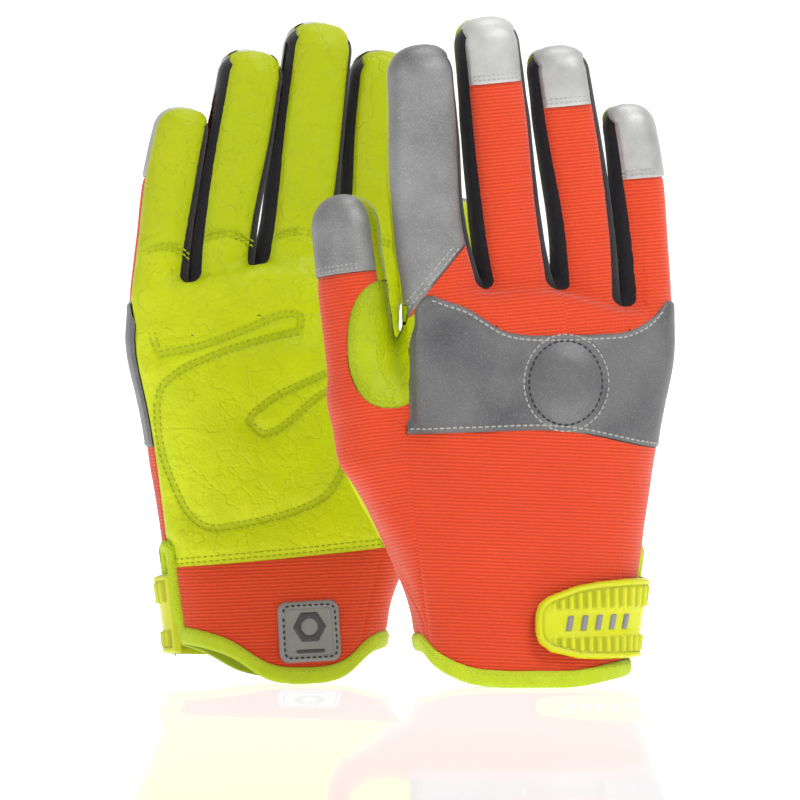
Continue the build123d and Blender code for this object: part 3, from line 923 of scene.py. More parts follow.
# double lines of stitches on the palm, as the viewer sees it: across and height
PALM_LINES = {
    "edge": ((46.0, 156), (46.6, 146), (46.8, 136), (46.0, 128.5), (43.6, 121.5)),
    "upper": ((43.6, 121.5), (28, 124.8), (10.3, 131.4), (-3.1, 136.3), (-8.5, 136.0), (-7.9, 130.3)),
    "lower": ((-7.9, 130.3), (7.3, 126.6), (25, 120.7), (36.9, 114.8), (43.0, 109.2), (44.7, 103.5)),
    "heel": ((44.7, 103.5), (44.3, 96.3), (42.1, 83.7), (38, 72.6), (33.6, 63.7), (29.1, 59.2), (23.9, 57.4),
             (16.5, 58.2), (3.6, 60.8), (-9, 64.5), (-18.6, 70), (-23.1, 77), (-25.6, 84.8)),
    "bar": ((-34, 122.0), (-18.6, 114.8), (6.2, 101.8), (10.3, 97.6), (7.7, 93.7), (-18.6, 108.2),
            (-34, 116.0)),
}
PALM_LINES = {key: smooth_line(line, 5) for key, line in PALM_LINES.items()}
FINGER_ARCS = {"index": 12.0, "middle": 14.0, "ring": 14.0, "pinky": 15.0}  # along each finger's palm side


def ellipse_distance(across, height, shape, power=2.0):
    size_a, size_b = shape["radii"]
    return oval_distance((((across - shape["across"]), size_a), ((height - shape["height"]), size_b)), power)


def valley(d, depth=0.45, width=0.8):
    """How far a seam pulls the surface in, at distance d from it."""
    return -depth * np.exp(-((d / width) ** 2))


def strip_half(w, length):
    """Half the width of a finger's side strip, at w along it; negative beyond its end."""
    end = length - STRIP_END
    straight = STRIP_LOW + (STRIP_HIGH - STRIP_LOW) * np.clip(w / end, -0.3, 1)
    return straight - np.maximum(w - end + 1, 0) * 1.7


def rough_leather(p, seed, size=1.0):
    """Soft creases and hollows in used leather."""
    ridges = 1 - 2 * np.abs(noise(p * (1, 1, 1.6), 8.5, seed + 1))
    return size * (0.42 * noise(p, 13.0, seed) + 0.16 * ridges + 0.08 * noise(p, 3.6, seed + 2))


# ---------------------------------------------------------------- fingers
SIDES = {"index": (1,), "middle": (-1, 1), "ring": (-1, 1), "pinky": (-1,), "thumb": ()}  # of the side strips
EDGE_SCORES = (-1.2, -0.4, 0.5, 1.5)  # extra mesh edges beside the edge of a grey panel
SKIN_LOW, SKIN_WIDE, SKIN_OVER = -22.0, 21.0, {"thumb": 12.0}  # how far a finger's skin is meshed, mm
CAP_ROWS, DIAGONAL_ROWS, SADDLE_ROWS, ARC_ROWS = (1.4, 3.0), (1.5, 3.4), (1.9, 3.6), (0.0, 1.8)


class Finger:
    """A finger's field, and its seams and surfaces as functions of places in the glove's own frame."""

    def __init__(self, glove, name):
        self.glove, self.name, self.sides = glove, name, SIDES[name]
        self.field = glove.with_finger(name)
        self.size = THUMB if name == "thumb" else FINGERS[name]
        self.length, self.radius = glove.length(name), self.size["width"] / 2
        self.cap_start = self.length - self.size["cap"]
        self.seed = 10 + 7 * (NAMES + ["thumb"]).index(name) + (50 if glove.which == "rear" else 0)

    def region(self, p):
        if self.name == "thumb":
            return self.glove.thumb_region(p)
        return self.glove.finger_region(self.name, p)

    def skin(self):
        """The skin of the finger down to its root, with edges along its region's border."""
        ends = self.glove.from_local(self.name, np.array([[0.0, 0.0, SKIN_LOW], [0.0, 0.0, self.length]]))
        reach = np.array([SKIN_WIDE, SKIN_WIDE, SKIN_OVER.get(self.name, 4.0)])
        skin = surface_net(self.field, ends.min(axis=0) - reach, ends.max(axis=0) + reach)
        return skin.split(self.region)[0]

    def panel(self, label, skin, material, rise, nodes=(), seam=None):
        panel(self.glove, label, self.name, self.field, skin, material, rise, seam or self.seam, self.grain,
              nodes)

    def place(self, p):
        """Across from the finger's bowed middle, towards the palm, and along."""
        u, v, w = self.glove.local(self.name, p).T
        return u - self.glove.bow(self.name, w)[0], v, w

    def strip_edge(self, p, side):
        """Distance from the edge of a side strip, negative inside."""
        u, v, w = self.place(p)
        f = np.abs(v - STRIP_MIDDLE[self.glove.which]) - strip_half(w, self.length)
        return np.where(u * side > 0.15 * self.radius, f, FAR)

    def middle_line(self, p):
        """Negative on the back, positive on the palm side."""
        return self.glove.local(self.name, p)[:, 1]

    def cap_line(self, p):
        """Distance along the finger from the cap's lower edge."""
        return self.glove.local(self.name, p)[:, 2] - self.cap_start

    def seam(self, p):
        """Distance from the nearest seam."""
        u, v, w = self.place(p)
        nearest = np.abs(v)
        for side in self.sides:
            beside_strip = (u * side > 0) & (w < self.length - STRIP_END + 4)
            nearest = np.where(beside_strip, np.abs(self.strip_edge(p, side)), nearest)
        return nearest

    def grain(self, p):
        u, v, w = self.glove.local(self.name, p).T
        return w, np.arctan2(u, -v) * self.radius

    def calm(self, p):
        """0 where this finger's skin meets the hand's or its neighbour's, 1 away from there."""
        if self.name == "thumb":
            along = self.glove.local("thumb", p)[:, 2]
            return ramp(along - THUMB_START, 0, 7) * ramp(THUMB_SIDE - p[:, 0], 0, 3)
        inside = ramp(-self.region(p), 0, 5)
        return np.maximum(inside, ramp(p[:, 2] - self.glove.hand_top(p), 2, 8))

    def bend_folds(self, p):
        """Soft folds across the palm side where the finger bends."""
        w = self.glove.local(self.name, p)[:, 2]
        wave = noise(p * (0.35, 0.35, 1.0), 5.0, self.seed + 5)
        places = np.exp(-(((w - 0.46 * self.length) / 11) ** 2)) + 1.1 * np.exp(-(((w - 2) / 12) ** 2))
        return 0.55 * wave * places

    def rise_leather(self, p):
        d = self.seam(p)
        full = valley(d) + 0.55 * (1 - np.exp(-((d / 4.5) ** 2))) + self.bend_folds(p) * ramp(d, 0, 4)
        return full * self.calm(p) + rough_leather(p, self.glove.seed) * ramp(d, 0, 5)

    def rise_cloth(self, p):
        d = np.minimum(self.seam(p), np.abs(self.cap_line(p))) if self.size["cap"] else self.seam(p)
        full = valley(d, 0.4) + 0.3 * (1 - np.exp(-((d / 4) ** 2)))
        return (full + 0.22 * noise(p, 12.0, self.seed) * ramp(d, 0, 4)) * self.calm(p)

    def rise_cap(self, p):
        d = self.seam(p)
        lip = 0.6 * ramp(d, 0, 1.6) * ramp(self.cap_line(p), -0.5, 0.6)
        return valley(d) + lip + 0.25 * noise(p, 9.0, self.seed) * ramp(d, 0, 4)

    def rise_strip(self, p):
        d = self.seam(p)
        return -0.45 + 0.35 * (1 - np.exp(-((d / 2.5) ** 2))) + 0.2 * noise(p, 9.0, self.seed) * ramp(d, 0, 3)

    def rise_index_back(self, p):
        d = np.minimum(self.seam(p), np.abs(diagonal_distance(p)))
        lip = 0.7 * ramp(diagonal_distance(p), -0.4, 0.8) * ramp(d, 0, 2)
        return (valley(d) + lip + 0.4 * noise(p, 15.0, self.seed) * ramp(d, 0, 5)) * self.calm(p)

    def saddle_edge(self, p):
        """Distance from the edge of the thumb's saddle, negative inside."""
        v = self.glove.local("thumb", p)[:, 1]
        return np.maximum(ellipse_distance(view_across(p), p[:, 2], SADDLE, 2.3), v - 7.0)

    def rise_saddle(self, p):
        d = np.abs(self.saddle_edge(p))
        full = 0.75 * ramp(d, 0, 1.2) + valley(np.abs(d - 2.2), 0.3)
        full = full + rough_leather(p, self.seed, 0.8) * ramp(d, 0, 4)
        return full * ramp(THUMB_SIDE - p[:, 0], 0, 3)


def diagonal_distance(p):
    """Distance above the slanting edge of the index finger's grey back."""
    (a0, z0), (a1, z1) = DIAGONAL
    slope = (z1 - z0) / (a1 - a0)
    return (p[:, 2] - z0 - slope * (view_across(p) - a0)) / math.hypot(1, slope)


def build_strips(finger, skin):
    """The black strips at a finger's sides; gives back the rest of its skin."""
    name = finger.name
    label = "fourchettes" if len(finger.sides) == 2 else "fourchette"
    nodes = [f"{name}_{label}"] + (["finger_webs"] if name == "middle" else [])
    for side in finger.sides:
        def edge(p):
            return finger.strip_edge(p, side)

        strip, skin = skin.scored(edge, GROOVE_SCORES).split(edge)
        tag = "left" if side < 0 else "right"
        finger.panel(f"{name}_side_{tag}", strip, "black_stretch", finger.rise_strip, nodes)
    return skin


def build_saddle(finger, skin):
    """The leather between thumb and index finger; gives back the rest of the thumb's skin."""
    skin = skin.scored(finger.saddle_edge, (-3.0, -2.2, -1.2, -0.5))
    saddle, skin = skin.split(finger.saddle_edge)
    # the saddle takes the darker copy of the lime leather as painted shade
    finger.panel("thumb_saddle", saddle, "shaded_lime_leather", finger.rise_saddle, ["thumb_saddle"],
                 seam=lambda p: np.abs(finger.saddle_edge(p)))
    return skin


def build_index_back(finger, back):
    """The index finger's grey back, and the orange wedge below its slanting edge."""
    wedge, back = back.scored(diagonal_distance, EDGE_SCORES).split(diagonal_distance)
    finger.panel("index_wedge", wedge, "orange_knit", finger.rise_cloth)
    finger.panel("index_back", back, "reflective_grey", finger.rise_index_back, ["index_back"])


def build_back_and_cap(finger, back):
    """A finger's orange back and its grey tip cap."""
    name = finger.name
    back, cap = back.scored(finger.cap_line, EDGE_SCORES).split(finger.cap_line)
    grey = "reflective_grey" if name == "thumb" else "tip_grey"
    finger.panel(f"{name}_back", back, "orange_knit", finger.rise_cloth, [f"{name}_back"])
    finger.panel(f"{name}_tip_cap", cap, grey, finger.rise_cap, [f"{name}_tip_cap"])


def build_finger(glove, name):
    """A finger's panels, its tip cap and its stitches."""
    finger = Finger(glove, name)
    skin = build_strips(finger, finger.skin())
    if name == "thumb":
        skin = build_saddle(finger, skin)
    back, leather = skin.scored(finger.middle_line, GROOVE_SCORES).split(finger.middle_line)
    finger.panel(f"{name}_leather", leather, "lime_leather", finger.rise_leather, [f"{name}_leather"])
    if name == "index":
        build_index_back(finger, back)
    else:
        build_back_and_cap(finger, back)
    stitch_finger(finger)


def finger_row(finger, w, reach, arch):
    """A row of places across a finger, as across and along, that rises by arch in its middle."""
    shift, half = (float(value[0]) for value in finger.glove.bow(finger.name, np.array([w])))
    return [(shift + share * half * reach, w + arch * (1 - share * share)) for share in (-1, -0.5, 0, 0.5, 1)]


def stitch_diagonal(finger, seams):
    """Two rows beside the slanting edge of the index finger's grey back."""
    (a0, z0), (a1, z1) = DIAGONAL
    size = math.hypot(a1 - a0, z1 - z0)
    off_a, off_z = -(z1 - z0) / size, (a1 - a0) / size
    for offset in DIAGONAL_ROWS:
        line = [(a + off_a * offset, z + off_z * offset) for a, z in DIAGONAL]
        seams.view(line, -1, lift=0.6, valid=lambda p: finger.region(p) < -0.3)


def stitch_saddle(seams):
    """Two rows inside the round edge of the thumb's saddle."""
    turns = np.radians(np.linspace(75, 285, 40))
    for inset in SADDLE_ROWS:
        (a, b), line = SADDLE["radii"], []
        for c, s in zip(np.cos(turns), np.sin(turns)):
            across = SADDLE["across"] + (a - inset) * math.copysign(abs(c) ** 0.87, c)
            line.append((across, SADDLE["height"] + (b - inset) * math.copysign(abs(s) ** 0.87, s)))
        seams.view(line, -1, lift=0.55)


def stitch_finger(finger):
    """The rows at the cap's lower edge or beside the slanting edge, on the saddle, and the palm's arcs."""
    name = finger.name
    grey = Seams(finger.glove, name, finger.field, "thread_grey")
    lime = Seams(finger.glove, name, finger.field, "thread_lime")
    if name == "index":
        stitch_diagonal(finger, grey)
    else:
        for offset in CAP_ROWS:
            row = finger_row(finger, finger.cap_start + offset, 0.86 if name == "thumb" else 0.68, 0.0)
            grey.finger(name, row, -1, lift=0.5, pitch=1.75, radius=0.28)
    if name == "thumb":
        stitch_saddle(lime)
    else:
        for offset in ARC_ROWS:
            lime.finger(name, finger_row(finger, FINGER_ARCS[name] + offset, 0.74, 3.0), 1, lift=0.7)
    grey.finish(f"{name}_grey_stitches")
    lime.finish(f"{name}_lime_stitches")


# ---------------------------------------------------------------- the hand
HAND_BOX = ((-76, -32, -5), (62, 36, 152))
LINING_DEPTH, BINDING_DEPTH = 2.0, 2.6
BINDING_STITCHES = 0.72  # where the row of the hem's binding lies, as a share of the binding's height


class Hand:
    """The hand's field, and its seams and surfaces as functions of places in the glove's own frame."""

    def __init__(self, glove):
        self.glove, self.field, self.seed = glove, glove.whole, glove.seed

    def region(self, p):
        f = np.maximum(p[:, 2] - self.glove.root_height(p), -self.glove.thumb_region(p))
        return np.maximum(np.maximum(f, self.glove.hem(p) - p[:, 2]), -self.glove.slit(p))

    def panel(self, name, skin, material, rise, nodes=(), seam=None, grain=None):
        panel(self.glove, name, "hand", self.field, skin, material, rise, seam or self.seam,
              grain or self.grain, nodes)

    # seams: fields that are zero along a seam or an edge
    def hem_band(self, p):
        """Distance from the binding's inner edge, negative on the binding."""
        return np.minimum(p[:, 2] - self.glove.hem(p) - BINDING, self.glove.slit(p) - SLIT_BINDING)

    def side(self, p):
        """Negative on the back; at the thumb's root the seam runs into the thumb's own."""
        x, z = p[:, 0], p[:, 2]
        round_root = 20 * ramp(-x, 24, 40) * ramp(z, 22, 50) * (1 - ramp(z, 90, 104))
        share = ramp(z, 72, 92) * ramp(-x, 38, 46)
        on_hand = p[:, 1] - self.glove.seam_y(p) - round_root
        return (1 - share) * on_hand + share * self.glove.local("thumb", p)[:, 1]

    def side_seam(self, p):
        """Distance from the seam between the back and the thumb's side panel."""
        return (view_across(p) - curve(p[:, 2], SIDE_SEAM)) * 0.97

    def cuff_seam(self, p):
        """Distance from the upright seam at the thumb's side of the cuff."""
        return np.where(p[:, 2] < 60, view_across(p) - curve(p[:, 2], CUFF_SEAM), FAR)

    def palm_edge(self, p):
        """Height above the leather's lower edge."""
        return p[:, 2] - curve(p[:, 0], PALM_EDGE)

    def band_bottom(self, p):
        return p[:, 2] - curve(view_across(p), BAND_BOTTOM)

    def band_top(self, p):
        return curve(view_across(p), BAND_TOP) - p[:, 2]

    def band_depth(self, p):
        """Distance into the knuckle band from its nearest edge."""
        return np.minimum(np.minimum(self.band_bottom(p), self.band_top(p)), -self.side(p))

    def disc_edge(self, p):
        return ellipse_distance(view_across(p), p[:, 2], DISC)

    def seam(self, p):
        """Distance from the nearest seam."""
        back = self.side(p) < 0
        d = np.minimum(np.abs(self.side(p)), np.abs(self.hem_band(p)))
        d = np.minimum(d, np.where(back, np.abs(self.side_seam(p)), np.abs(self.palm_edge(p))))
        return np.minimum(d, np.where(back, FAR, np.abs(self.cuff_seam(p))))

    def palm_quilt(self, p):
        """Distance from the palm's quilting lines."""
        across, height = view_across(p), p[:, 2]
        return np.min([line_distance(across, height, line) for line in PALM_LINES.values()], axis=0)

    def beside_thumb(self, p):
        """0 where the hand's skin meets the thumb's, 1 away from there."""
        return ramp(self.glove.thumb_region(p), 0, 3)

    def grain(self, p):
        return p[:, 2] + 0.04 * p[:, 0], np.where(p[:, 1] < 0, p[:, 0], -p[:, 0]) + 0.6 * p[:, 1]

    def thumb_grain(self, p):
        return self.glove.local("thumb", p)[:, 2], p[:, 1] + p[:, 0]

    # surfaces: how far a panel stands out from the field's surface
    def rise_cloth(self, p):
        d = self.seam(p)
        waves = 0.7 * noise(p * (1, 1, 0.55), 24.0, self.seed) + 0.25 * noise(p, 10.0, self.seed + 1)
        return (valley(d, 0.4) + waves * ramp(d, 0, 7)) * self.beside_thumb(p)

    def rise_leather(self, p):
        d, quilt = np.minimum(self.seam(p), 30), self.palm_quilt(p)
        full = 1.5 * (1 - np.exp(-((quilt / 5.0) ** 2))) - 0.6 * np.exp(-((quilt / 1.5) ** 2))
        inner = ramp(d, 0, 6) * ramp(self.glove.root_height(p) - p[:, 2], 0, 9)
        return (valley(d) + full * inner) * self.beside_thumb(p) + rough_leather(p, self.seed) * ramp(d, 0, 5)

    def rise_band(self, p):
        d, ring = self.band_depth(p), self.disc_edge(p)
        dome = 1.7 * (1 - ramp(ring, -7.5, -0.6)) - 0.6 * np.exp(-((ring / 1.1) ** 2))
        dome = dome + 0.35 * np.exp(-(((ring - 3.0) / 2.2) ** 2))
        full = 0.9 * ramp(d, -0.1, 1.2) + dome * ramp(-p[:, 1], 0, 6)
        return (full + 0.25 * noise(p, 20.0, self.seed) * ramp(d, 0, 4)) * self.beside_thumb(p)

    def rise_binding(self, p):
        above = p[:, 2] - self.glove.hem(p)
        on_hem = np.minimum(above, BINDING) / BINDING
        on_slit_edge = np.maximum(self.glove.slit(p), 0) / SLIT_BINDING
        share = np.clip(np.minimum(on_hem, on_slit_edge), 0, 1)
        round_edge = 1 - np.abs(2 * share - 1) ** 3.5
        pucker = 0.16 * np.sin(self.grain(p)[1] * 2 * math.pi / 4.6) * round_edge
        on_slit = ramp(above - BINDING, 0, 4)
        return 0.25 + (1.0 + 0.9 * on_slit) * round_edge + pucker + 0.2 * noise(p, 7.0, self.seed)

    def inside(self, p, depth):
        """Points at a depth below the surface."""
        return p - normals(self.field, p) * depth


def build_lining(hand, skin):
    """The dark inner skin, which shows through the slit and at the hem."""
    points = skin.points
    values = {"seam": np.full(len(points), FAR), "along": points[:, 2], "across": points[:, 0]}
    lining = hand.inside(points, LINING_DEPTH)
    make(hand.glove, "lining", "hand", lining, skin.faces[:, ::-1], "black_stretch", (), values)


def build_binding(hand, skin):
    """The folded tape round the hem and the wrist slit; gives back the rest of the hand's skin."""
    binding, skin = skin.scored(hand.hem_band, (-1.2, -3.0, -5.0)).split(hand.hem_band)
    p = binding.points
    outer = p + normals(hand.field, p) * hand.rise_binding(p)[:, None]
    points, faces = closed(outer, hand.inside(p, BINDING_DEPTH), binding.faces)
    along, across = hand.grain(p)
    values = {"seam": np.full(len(points), FAR), "along": np.tile(along, 2), "across": np.tile(across, 2)}
    make(hand.glove, "edge_binding", "hand", points, faces, "lime_binding", ["edge_binding"], values)
    return skin


def build_back(hand, back):
    """The back: the panel beside the thumb, the orange panel and the knuckle band with its disc."""
    thumb_side, back = back.scored(hand.side_seam, GROOVE_SCORES).split(hand.side_seam)
    hand.panel("thumb_side_panel", thumb_side, "orange_knit", hand.rise_cloth, grain=hand.thumb_grain)
    low, band = back.scored(hand.band_bottom, (-1.0, 0.5, 1.4)).split(hand.band_bottom)
    hand.panel("back_panel", low, "orange_knit", hand.rise_cloth, ["back_panel"])
    band = band.scored(hand.disc_edge, (-2.2, -0.8, 0.0, 0.8, 2.2))
    band = band.scored(hand.band_top, (0.5, 1.4)).scored(hand.side, (-0.6, -1.6))
    hand.panel("knuckle_band", band, "band_grey", hand.rise_band, ["knuckle_band"],
               seam=lambda p: np.abs(hand.band_depth(p)))


def build_palm(hand, palm):
    """The palm side: the orange cuff panel and the quilted leather."""
    cuff, leather = palm.scored(hand.palm_edge, GROOVE_SCORES).split(hand.palm_edge)
    cuff = cuff.scored(hand.cuff_seam, GROOVE_SCORES)
    hand.panel("cuff_panel", cuff, "orange_knit", hand.rise_cloth, ["cuff_panel"])
    for line in PALM_LINES.values():
        leather = leather.scored(lambda p: line_distance(view_across(p), p[:, 2], line), (0.7, 1.6))
    hand.panel("palm_leather", leather, "lime_leather", hand.rise_leather, ["palm_leather"],
               seam=lambda p: np.minimum(hand.seam(p), hand.palm_quilt(p)))


def build_hand(glove):
    """The hand's lining, binding and panels, its stitches and its pads."""
    hand = Hand(glove)
    skin = surface_net(hand.field, *HAND_BOX).split(hand.region)[0]
    build_lining(hand, skin)
    skin = build_binding(hand, skin)
    back, palm = skin.scored(hand.side, GROOVE_SCORES).split(hand.side)
    build_back(hand, back)
    build_palm(hand, palm)
    stitch_hand(hand)
    build_pads(hand)


def offset_line(line, distance):
    """A line beside another, at a distance to its left."""
    line = np.asarray(line, float)
    heading = np.gradient(line, axis=0)
    heading = heading / np.maximum(np.linalg.norm(heading, axis=1), 1e-9)[:, None]
    return line + np.stack([-heading[:, 1], heading[:, 0]], axis=1) * distance


def stitch_band(hand, grey, dark):
    """One row inside each edge of the knuckle band, and two rings round its disc."""
    def on_back(p):
        return hand.side(p) < -0.8

    for edge, inset, first, last in ((BAND_TOP, -1.8, -33.5, 51), (BAND_BOTTOM, 1.8, -41.5, 55)):
        row = [(a, curve(np.array([a]), edge)[0] + inset) for a in np.linspace(first, last, 34)]
        grey.view(row, -1, lift=hand.rise_band, valid=on_back)
    turns = np.linspace(0, 2 * math.pi, 60)
    for radius, seams in ((0.98, dark), (1.13, grey)):
        ring = [(DISC["across"] + radius * DISC["radii"][0] * math.cos(t),
                 DISC["height"] + radius * DISC["radii"][1] * math.sin(t)) for t in turns]
        seams.view(ring, -1, lift=hand.rise_band, radius=0.3)


def stitch_palm(hand, lime):
    """Double rows along the quilting lines and above the leather's lower edge."""
    def on_palm(p):
        return hand.side(p) > 0.8

    for line in PALM_LINES.values():
        for offset in (-1.05, 1.05):
            lime.view(offset_line(line, offset), 1, lift=hand.rise_leather, valid=on_palm)
    for offset in (1.2, 3.0):
        edge = [(a, curve(np.array([a + 4.0]), PALM_EDGE)[0] + offset) for a in np.linspace(-48, 48, 30)]
        lime.view(edge, 1, lift=hand.rise_leather, valid=on_palm)


def stitch_hem(hand, pale):
    """The row all round the hem's binding."""
    turns = np.radians(np.linspace(0, 360, 361))
    out = np.stack([np.cos(turns), np.sin(turns), 0 * turns], axis=1)
    height = np.full(len(turns), BINDING)
    for _ in range(3):
        start = out * 90
        start[:, 2] = height
        spots = cast(hand.field, start, -out)[0]
        height = hand.glove.hem(spots) + BINDING * BINDING_STITCHES
    pale.along(start, -out, lift=0.85, valid=lambda p: hand.glove.slit(p) > SLIT_BINDING)


def stitch_slit(pale):
    """The row up one side of the wrist slit, round its top and down the other side."""
    reach = SLIT_HALF + SLIT_BINDING * 0.7
    up = [(SLIT_Y - reach, z) for z in np.linspace(10, SLIT_TOP, 14)]
    over = [(SLIT_Y - reach * math.cos(t), SLIT_TOP + reach * math.sin(t)) for t in np.linspace(0.2, 2.9, 12)]
    down = [(SLIT_Y + reach, z) for z in np.linspace(SLIT_TOP, 16, 14)]
    line = np.array(up + over + down)
    start = np.stack([np.full(len(line), 90.0), line[:, 0], line[:, 1]], axis=1)
    pale.along(start, (-1.0, 0, 0), lift=0.8)


def stitch_hand(hand):
    """Rows on the band and its disc, on the palm and on the binding."""
    threads = ("grey", "dark", "lime", "pale")
    grey, dark, lime, pale = (Seams(hand.glove, "hand", hand.field, f"thread_{thread}") for thread in threads)
    stitch_band(hand, grey, dark)
    stitch_palm(hand, lime)
    stitch_hem(hand, pale)
    stitch_slit(pale)
    for thread, seams in zip(threads, (grey, dark, lime, pale)):
        seams.finish(f"hand_{thread}_stitches")


# ---------------------------------------------------------------- the closure tab, its patches and the badge
# the tab's outline when unrolled: distance from the free end, and height
TAB = (
    (0.0, 23.0), (0.3, 27.5), (1.6, 30.6), (5.0, 33.2), (15.5, 37.0), (24, 38.6), (36, 39.8), (64, 41.0),
    (64, 11.5), (24, 10.4), (16, 10.6), (5.5, 13.1), (1.4, 16.2), (0.3, 19.0),
)
TAB_ROOT_Y, TAB_START = 7.0, -2.4
TAB_CLEAR, TAB_THICK = 2.0, 1.7
TAB_RIB, TAB_MIDDLE, TAB_RISE = 3.3, 23.2, 0.045
WRIST_CENTRE = (1.5, 0.0)
RECESS = {"along": 25.5, "half": (16.5, 3.9), "depth": 0.3}
BARS = {
    "count": 5, "first": 12.5, "pitch": 5.4,
    "shape": ((-1.6, -2.7), (0.6, -2.7), (1.7, 2.7), (-0.5, 2.7)),
}
PATCHES = {  # along and height of two corners, height above the knit, thickness
    "hook_patch": {"part": "strap", "low": (8.0, 17.0), "high": (31.0, 31.0), "start": 1.1, "thick": 0.9},
    "loop_patch": {"part": "hand", "low": (6.0, 15.5), "high": (34.0, 33.5), "start": 0.2, "thick": 0.7},
}


class Wrap:
    """Places on the wrist, by distance along it from the closure tab's free end."""

    def __init__(self, field):
        self.field = field
        turns = np.radians(np.linspace(-112, 30, 200))
        spots = self.spots(turns, np.full(len(turns), 25.0))[0]
        begin = np.searchsorted(spots[:, 0], TAB_START)
        run = spots[begin:]
        self.turns = turns[begin:]
        self.t = np.concatenate([[0], np.cumsum(np.linalg.norm(np.diff(run, axis=0), axis=1))])
        self.root = np.interp(TAB_ROOT_Y, run[:, 1], self.t)

    def spots(self, turns, height):
        out = np.stack([np.cos(turns), np.sin(turns), 0 * turns], axis=1)
        start = out * 80.0 + np.array([*WRIST_CENTRE, 0.0])
        start[:, 2] = height
        spots = cast(self.field, start, -out)[0]
        return spots, normals(self.field, spots)

    def place(self, q):
        return self.spots(np.interp(q[:, 0], self.t, self.turns), q[:, 1])


def tab_middle(a):
    """Height of the tab's middle line, at a distance from the free end."""
    return TAB_MIDDLE + TAB_RISE * (a - 10)


def build_tab(glove):
    """The moulded tab: a raised rim, two rows of upright ribs and a plain recess between them."""
    wrap = Wrap(glove.whole)
    outline = np.array([(min(a, wrap.root), z) for a, z in TAB])

    def edge(p):
        return polygon_distance(p, outline)

    skin = flat_grid((-1, 9), (wrap.root + 1, 42), 0.55).scored(edge, (-0.5, -1.2, -2.3, -2.9)).split(edge)[0]
    q = skin.points
    inward, from_middle = -edge(q), q[:, 1] - tab_middle(q[:, 0])
    rim = ramp(inward, 0.0, 0.9) * (1 - ramp(inward, 1.9, 2.7))
    ribs = ramp(0.5 + 0.5 * np.cos(2 * math.pi * q[:, 0] / TAB_RIB), 0.35, 0.75)
    rows = ramp(np.abs(from_middle), 4.9, 5.5) * ramp(inward, 2.4, 3.0) * ramp(q[:, 0], 5.5, 7.0)
    hollow = np.maximum(rows * (1 - ribs), np.exp(-(((inward - 2.5) / 0.45) ** 2)))
    height = 1.0 * rim + 1.2 * ribs * rows + recess(q[:, 0] - RECESS["along"], from_middle)
    spots, n = wrap.place(q)
    lift = TAB_CLEAR * (1 - 0.75 * ramp(q[:, 0], wrap.root - 9, wrap.root))
    top = spots + n * (lift + TAB_THICK * ramp(inward, -0.3, 0.8) + height)[:, None]
    points, faces = closed(top, spots + n * lift[:, None], skin.faces)
    values = plain_values(len(points))
    # painted shade in the valleys between the ribs and inside the rim: the rubber darkens where this value is
    # low
    values["seam"] = np.tile(1 - hollow, 2)
    make(glove, "strap_tab", "strap", points, faces, "strap_rubber", ["strap_tab"], values)
    build_bars(glove, wrap)
    for name, size in PATCHES.items():
        build_patch(glove, wrap, name, size)


def recess(a, b):
    """The shallow recess that holds the raised bars."""
    half_a, half_b = RECESS["half"]
    outside = np.maximum(np.abs(a) - half_a, np.abs(b) - half_b)
    return -RECESS["depth"] * ramp(-outside, 0, 0.8)


def build_bars(glove, wrap):
    """Five plain slanting bars on the tab's middle."""
    def edge(p):
        return polygon_distance(p, BARS["shape"])

    skin = flat_grid((-1.75, -2.9), (1.75, 2.9), 0.5).scored(edge, (-0.35,)).split(edge)[0]
    base, parts, faces = TAB_CLEAR + TAB_THICK - 0.35, [], []
    for k in range(BARS["count"]):
        q = skin.points + np.array([BARS["first"] + BARS["pitch"] * k, 0, 0])
        q[:, 1] += tab_middle(q[:, 0])
        spots, n = wrap.place(q)
        top = spots + n * (base + 0.25 + 0.65 * ramp(-edge(skin.points), 0, 0.45))[:, None]
        points, triangles = closed(top, spots + n * base, skin.faces)
        faces.append(triangles + sum(len(p) for p in parts))
        parts.append(points)
    points, faces = np.concatenate(parts), np.concatenate(faces)
    make(glove, "tab_bars", "strap", points, faces, "badge_rubber", (), plain_values(len(points)))


def build_patch(glove, wrap, name, size):
    """A thin rounded patch of hook or loop tape that follows the wrist."""
    corners = rounded_corners(size["low"], size["high"], 2.0)

    def edge(p):
        return polygon_distance(p, corners)

    skin = flat_grid(size["low"], size["high"], 0.8).split(edge)[0]
    spots, n = wrap.place(skin.points)
    fuzz = 0.12 * noise(spots, 0.9, 5)
    rise = size["start"] + size["thick"] * ramp(-edge(skin.points), -0.2, 0.8) + fuzz
    points, faces = closed(spots + n * rise[:, None], spots + n * size["start"], skin.faces)
    material = "hook_tape" if name == "hook_patch" else "loop_tape"
    make(glove, name, size["part"], points, faces, material, [name], plain_values(len(points)))


def rounded_corners(low, high, radius):
    """The outline of a rectangle with round corners."""
    corners = []
    for sx, sy, first in ((1, 1, 0), (-1, 1, 90), (-1, -1, 180), (1, -1, 270)):
        cx = high[0] - radius if sx > 0 else low[0] + radius
        cy = high[1] - radius if sy > 0 else low[1] + radius
        for t in np.radians(np.linspace(first, first + 90, 5)):
            corners.append((cx + radius * math.cos(t), cy + radius * math.sin(t)))
    return corners


BADGE = {
    "across": -11.6, "height": 19.4, "half": 11.3, "turn": math.radians(-3.0), "thick": 1.5, "corner": 3.4,
}
HEXAGON = {"height": 1.6, "outer": 6.2, "hole": 3.1}
BADGE_BAR = ((-5.4, -8.2), (5.4, -6.6))


def on_badge(field, q):
    """Places on the cuff, from places across and up the badge, and their normals."""
    c, s = math.cos(BADGE["turn"]), math.sin(BADGE["turn"])
    across = BADGE["across"] + q[:, 0] * c - q[:, 1] * s
    height = BADGE["height"] + q[:, 0] * s + q[:, 1] * c
    spots = cast(field, *from_viewer(across, height, 1))[0]
    return spots, normals(field, spots)


